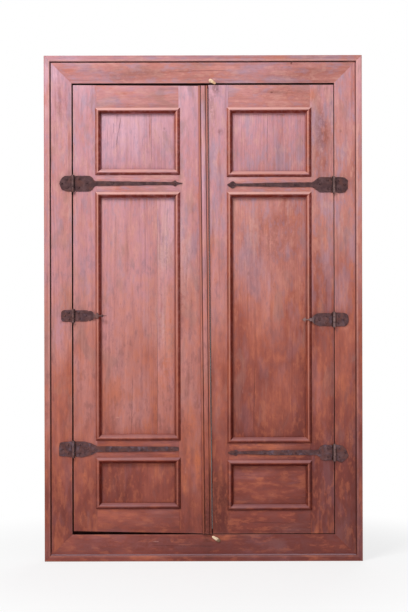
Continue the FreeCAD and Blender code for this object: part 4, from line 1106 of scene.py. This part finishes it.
def light_path_mask(finish):
    """1 for what the camera sees directly, in a reflection or through glass."""
    outputs = finish.add("ShaderNodeLightPath").socket.node.outputs
    direct, mirrored, through = (Wire(finish, outputs[f"Is {kind} Ray"])
                                 for kind in ("Camera", "Glossy", "Transmission"))
    return direct.most(mirrored).most(through)


class DOOR_OT_stage(bpy.types.Operator):
    """Lay the floor, hang the lamps and set the world"""
    bl_idname = "cupboard_door.stage"
    bl_label = "Floor and light"

    def execute(self, context):
        stage = settings().stage
        pick()
        bpy.ops.mesh.primitive_plane_add(size=FLOOR_SIZE, location=(0.0, 0.0, -FLOOR_DROP))
        floor = bpy.context.object
        floor.name = "pale_floor"
        bpy.ops.object.transform_apply(location=True)
        finish = Finish(bpy.data.materials.new("pale_floor"))
        x, y, _ = finish.parts(finish.here())
        far = (x * x + y * y).step(0.25, 1.6)
        share = light_path_mask(finish) * (0.72 + far * 0.28)
        floor.data.materials.append(finish.mixed(
            share, finish.add("ShaderNodeBsdfDiffuse", None, {"Color": (0.92, 0.92, 0.92, 1.0)}),
            finish.add("ShaderNodeEmission", None, {"Color": WHITE, "Strength": 1.0})))

        world = context.scene.world or bpy.data.worlds.new("soft_daylight")
        context.scene.world = world
        finish = Finish(world)
        sky, white = (
            finish.add("ShaderNodeBackground", None, {"Color": colour, "Strength": strength})
            for colour, strength in (((0.93, 0.96, 1.0, 1.0), stage.daylight), (WHITE, 1.0)))
        finish.mixed(light_path_mask(finish), sky, white)
        for name, place, height, side, power, colour in LAMPS:
            pick()
            bpy.ops.object.light_add(type="AREA", location=place)
            lamp = bpy.context.object
            lamp.name = name
            lamp.data.shape = "RECTANGLE"
            lamp.data.size = lamp.data.size_y = side
            lamp.data.energy = getattr(stage, power)
            lamp.data.color = colour
            aim = Vector((0.0, 0.0, height)) - Vector(place)
            lamp.rotation_euler = aim.to_track_quat("-Z", "Y").to_euler()
        context.scene.view_settings.view_transform = "Standard"
        return {"FINISHED"}


class DOOR_OT_camera(bpy.types.Operator):
    """Set the camera square in front of the door"""
    bl_idname = "cupboard_door.camera"
    bl_label = "Camera"

    def execute(self, context):
        stage = settings().stage
        pick()
        bpy.ops.object.camera_add(
            location=(stage.camera_shift, FACE_Y - stage.camera_gap, stage.camera_height),
            rotation=(math.radians(90.0), stage.roll, 0.0))
        camera = bpy.context.object
        camera.name = "front_camera"
        camera.data.lens = stage.lens
        camera.data.sensor_width = SENSOR_WIDTH
        camera.data.clip_end = FARTHEST_SEEN
        context.scene.camera = camera
        return {"FINISHED"}


OPERATORS = (DOOR_OT_frame, DOOR_OT_edge_moulding, DOOR_OT_leaves, DOOR_OT_panels,
             DOOR_OT_panel_mouldings, DOOR_OT_hinges, DOOR_OT_pins_and_nails, DOOR_OT_buttons,
             DOOR_OT_screws, DOOR_OT_stage, DOOR_OT_camera)


def group_setting(kind, name, description):
    return bpy.props.PointerProperty(type=kind, name=name, description=description)


class DoorSettings(bpy.types.PropertyGroup):
    """All settings of the door."""
    wood: group_setting(DoorWoodSettings, "Wood", "Stained wood")
    iron: group_setting(DoorIronSettings, "Iron", "Forged iron")
    brass: group_setting(DoorBrassSettings, "Brass", "Cast brass")
    stage: group_setting(DoorStageSettings, "Stage", "Camera and light")


class DOOR_PT_sidebar(bpy.types.Panel):
    """The door's settings and steps"""
    bl_label = "Cupboard Door"
    bl_idname = "DOOR_PT_sidebar"
    bl_space_type = "VIEW_3D"
    bl_region_type = "UI"
    bl_category = "Cupboard Door"

    def draw(self, context):
        door = context.scene.cupboard_door
        for group in (door.wood, door.iron, door.brass, door.stage):
            box = self.layout.box()
            for name in group.bl_rna.properties.keys():
                if name not in ("rna_type", "name"):
                    box.prop(group, name)
        for operator in OPERATORS:
            self.layout.operator(operator.bl_idname)


CLASSES = (DoorWoodSettings, DoorIronSettings, DoorBrassSettings, DoorStageSettings, DoorSettings,
           *OPERATORS, DOOR_PT_sidebar)


def register():
    for item in CLASSES:
        bpy.utils.register_class(item)
    bpy.types.Scene.cupboard_door = bpy.props.PointerProperty(type=DoorSettings)


def unregister():
    del bpy.types.Scene.cupboard_door
    for item in reversed(CLASSES):
        bpy.utils.unregister_class(item)


def main():
    register()
    for operator in OPERATORS:
        group, name = operator.bl_idname.split(".")
        getattr(getattr(bpy.ops, group), name)()


if __name__ == "__main__":
    main()
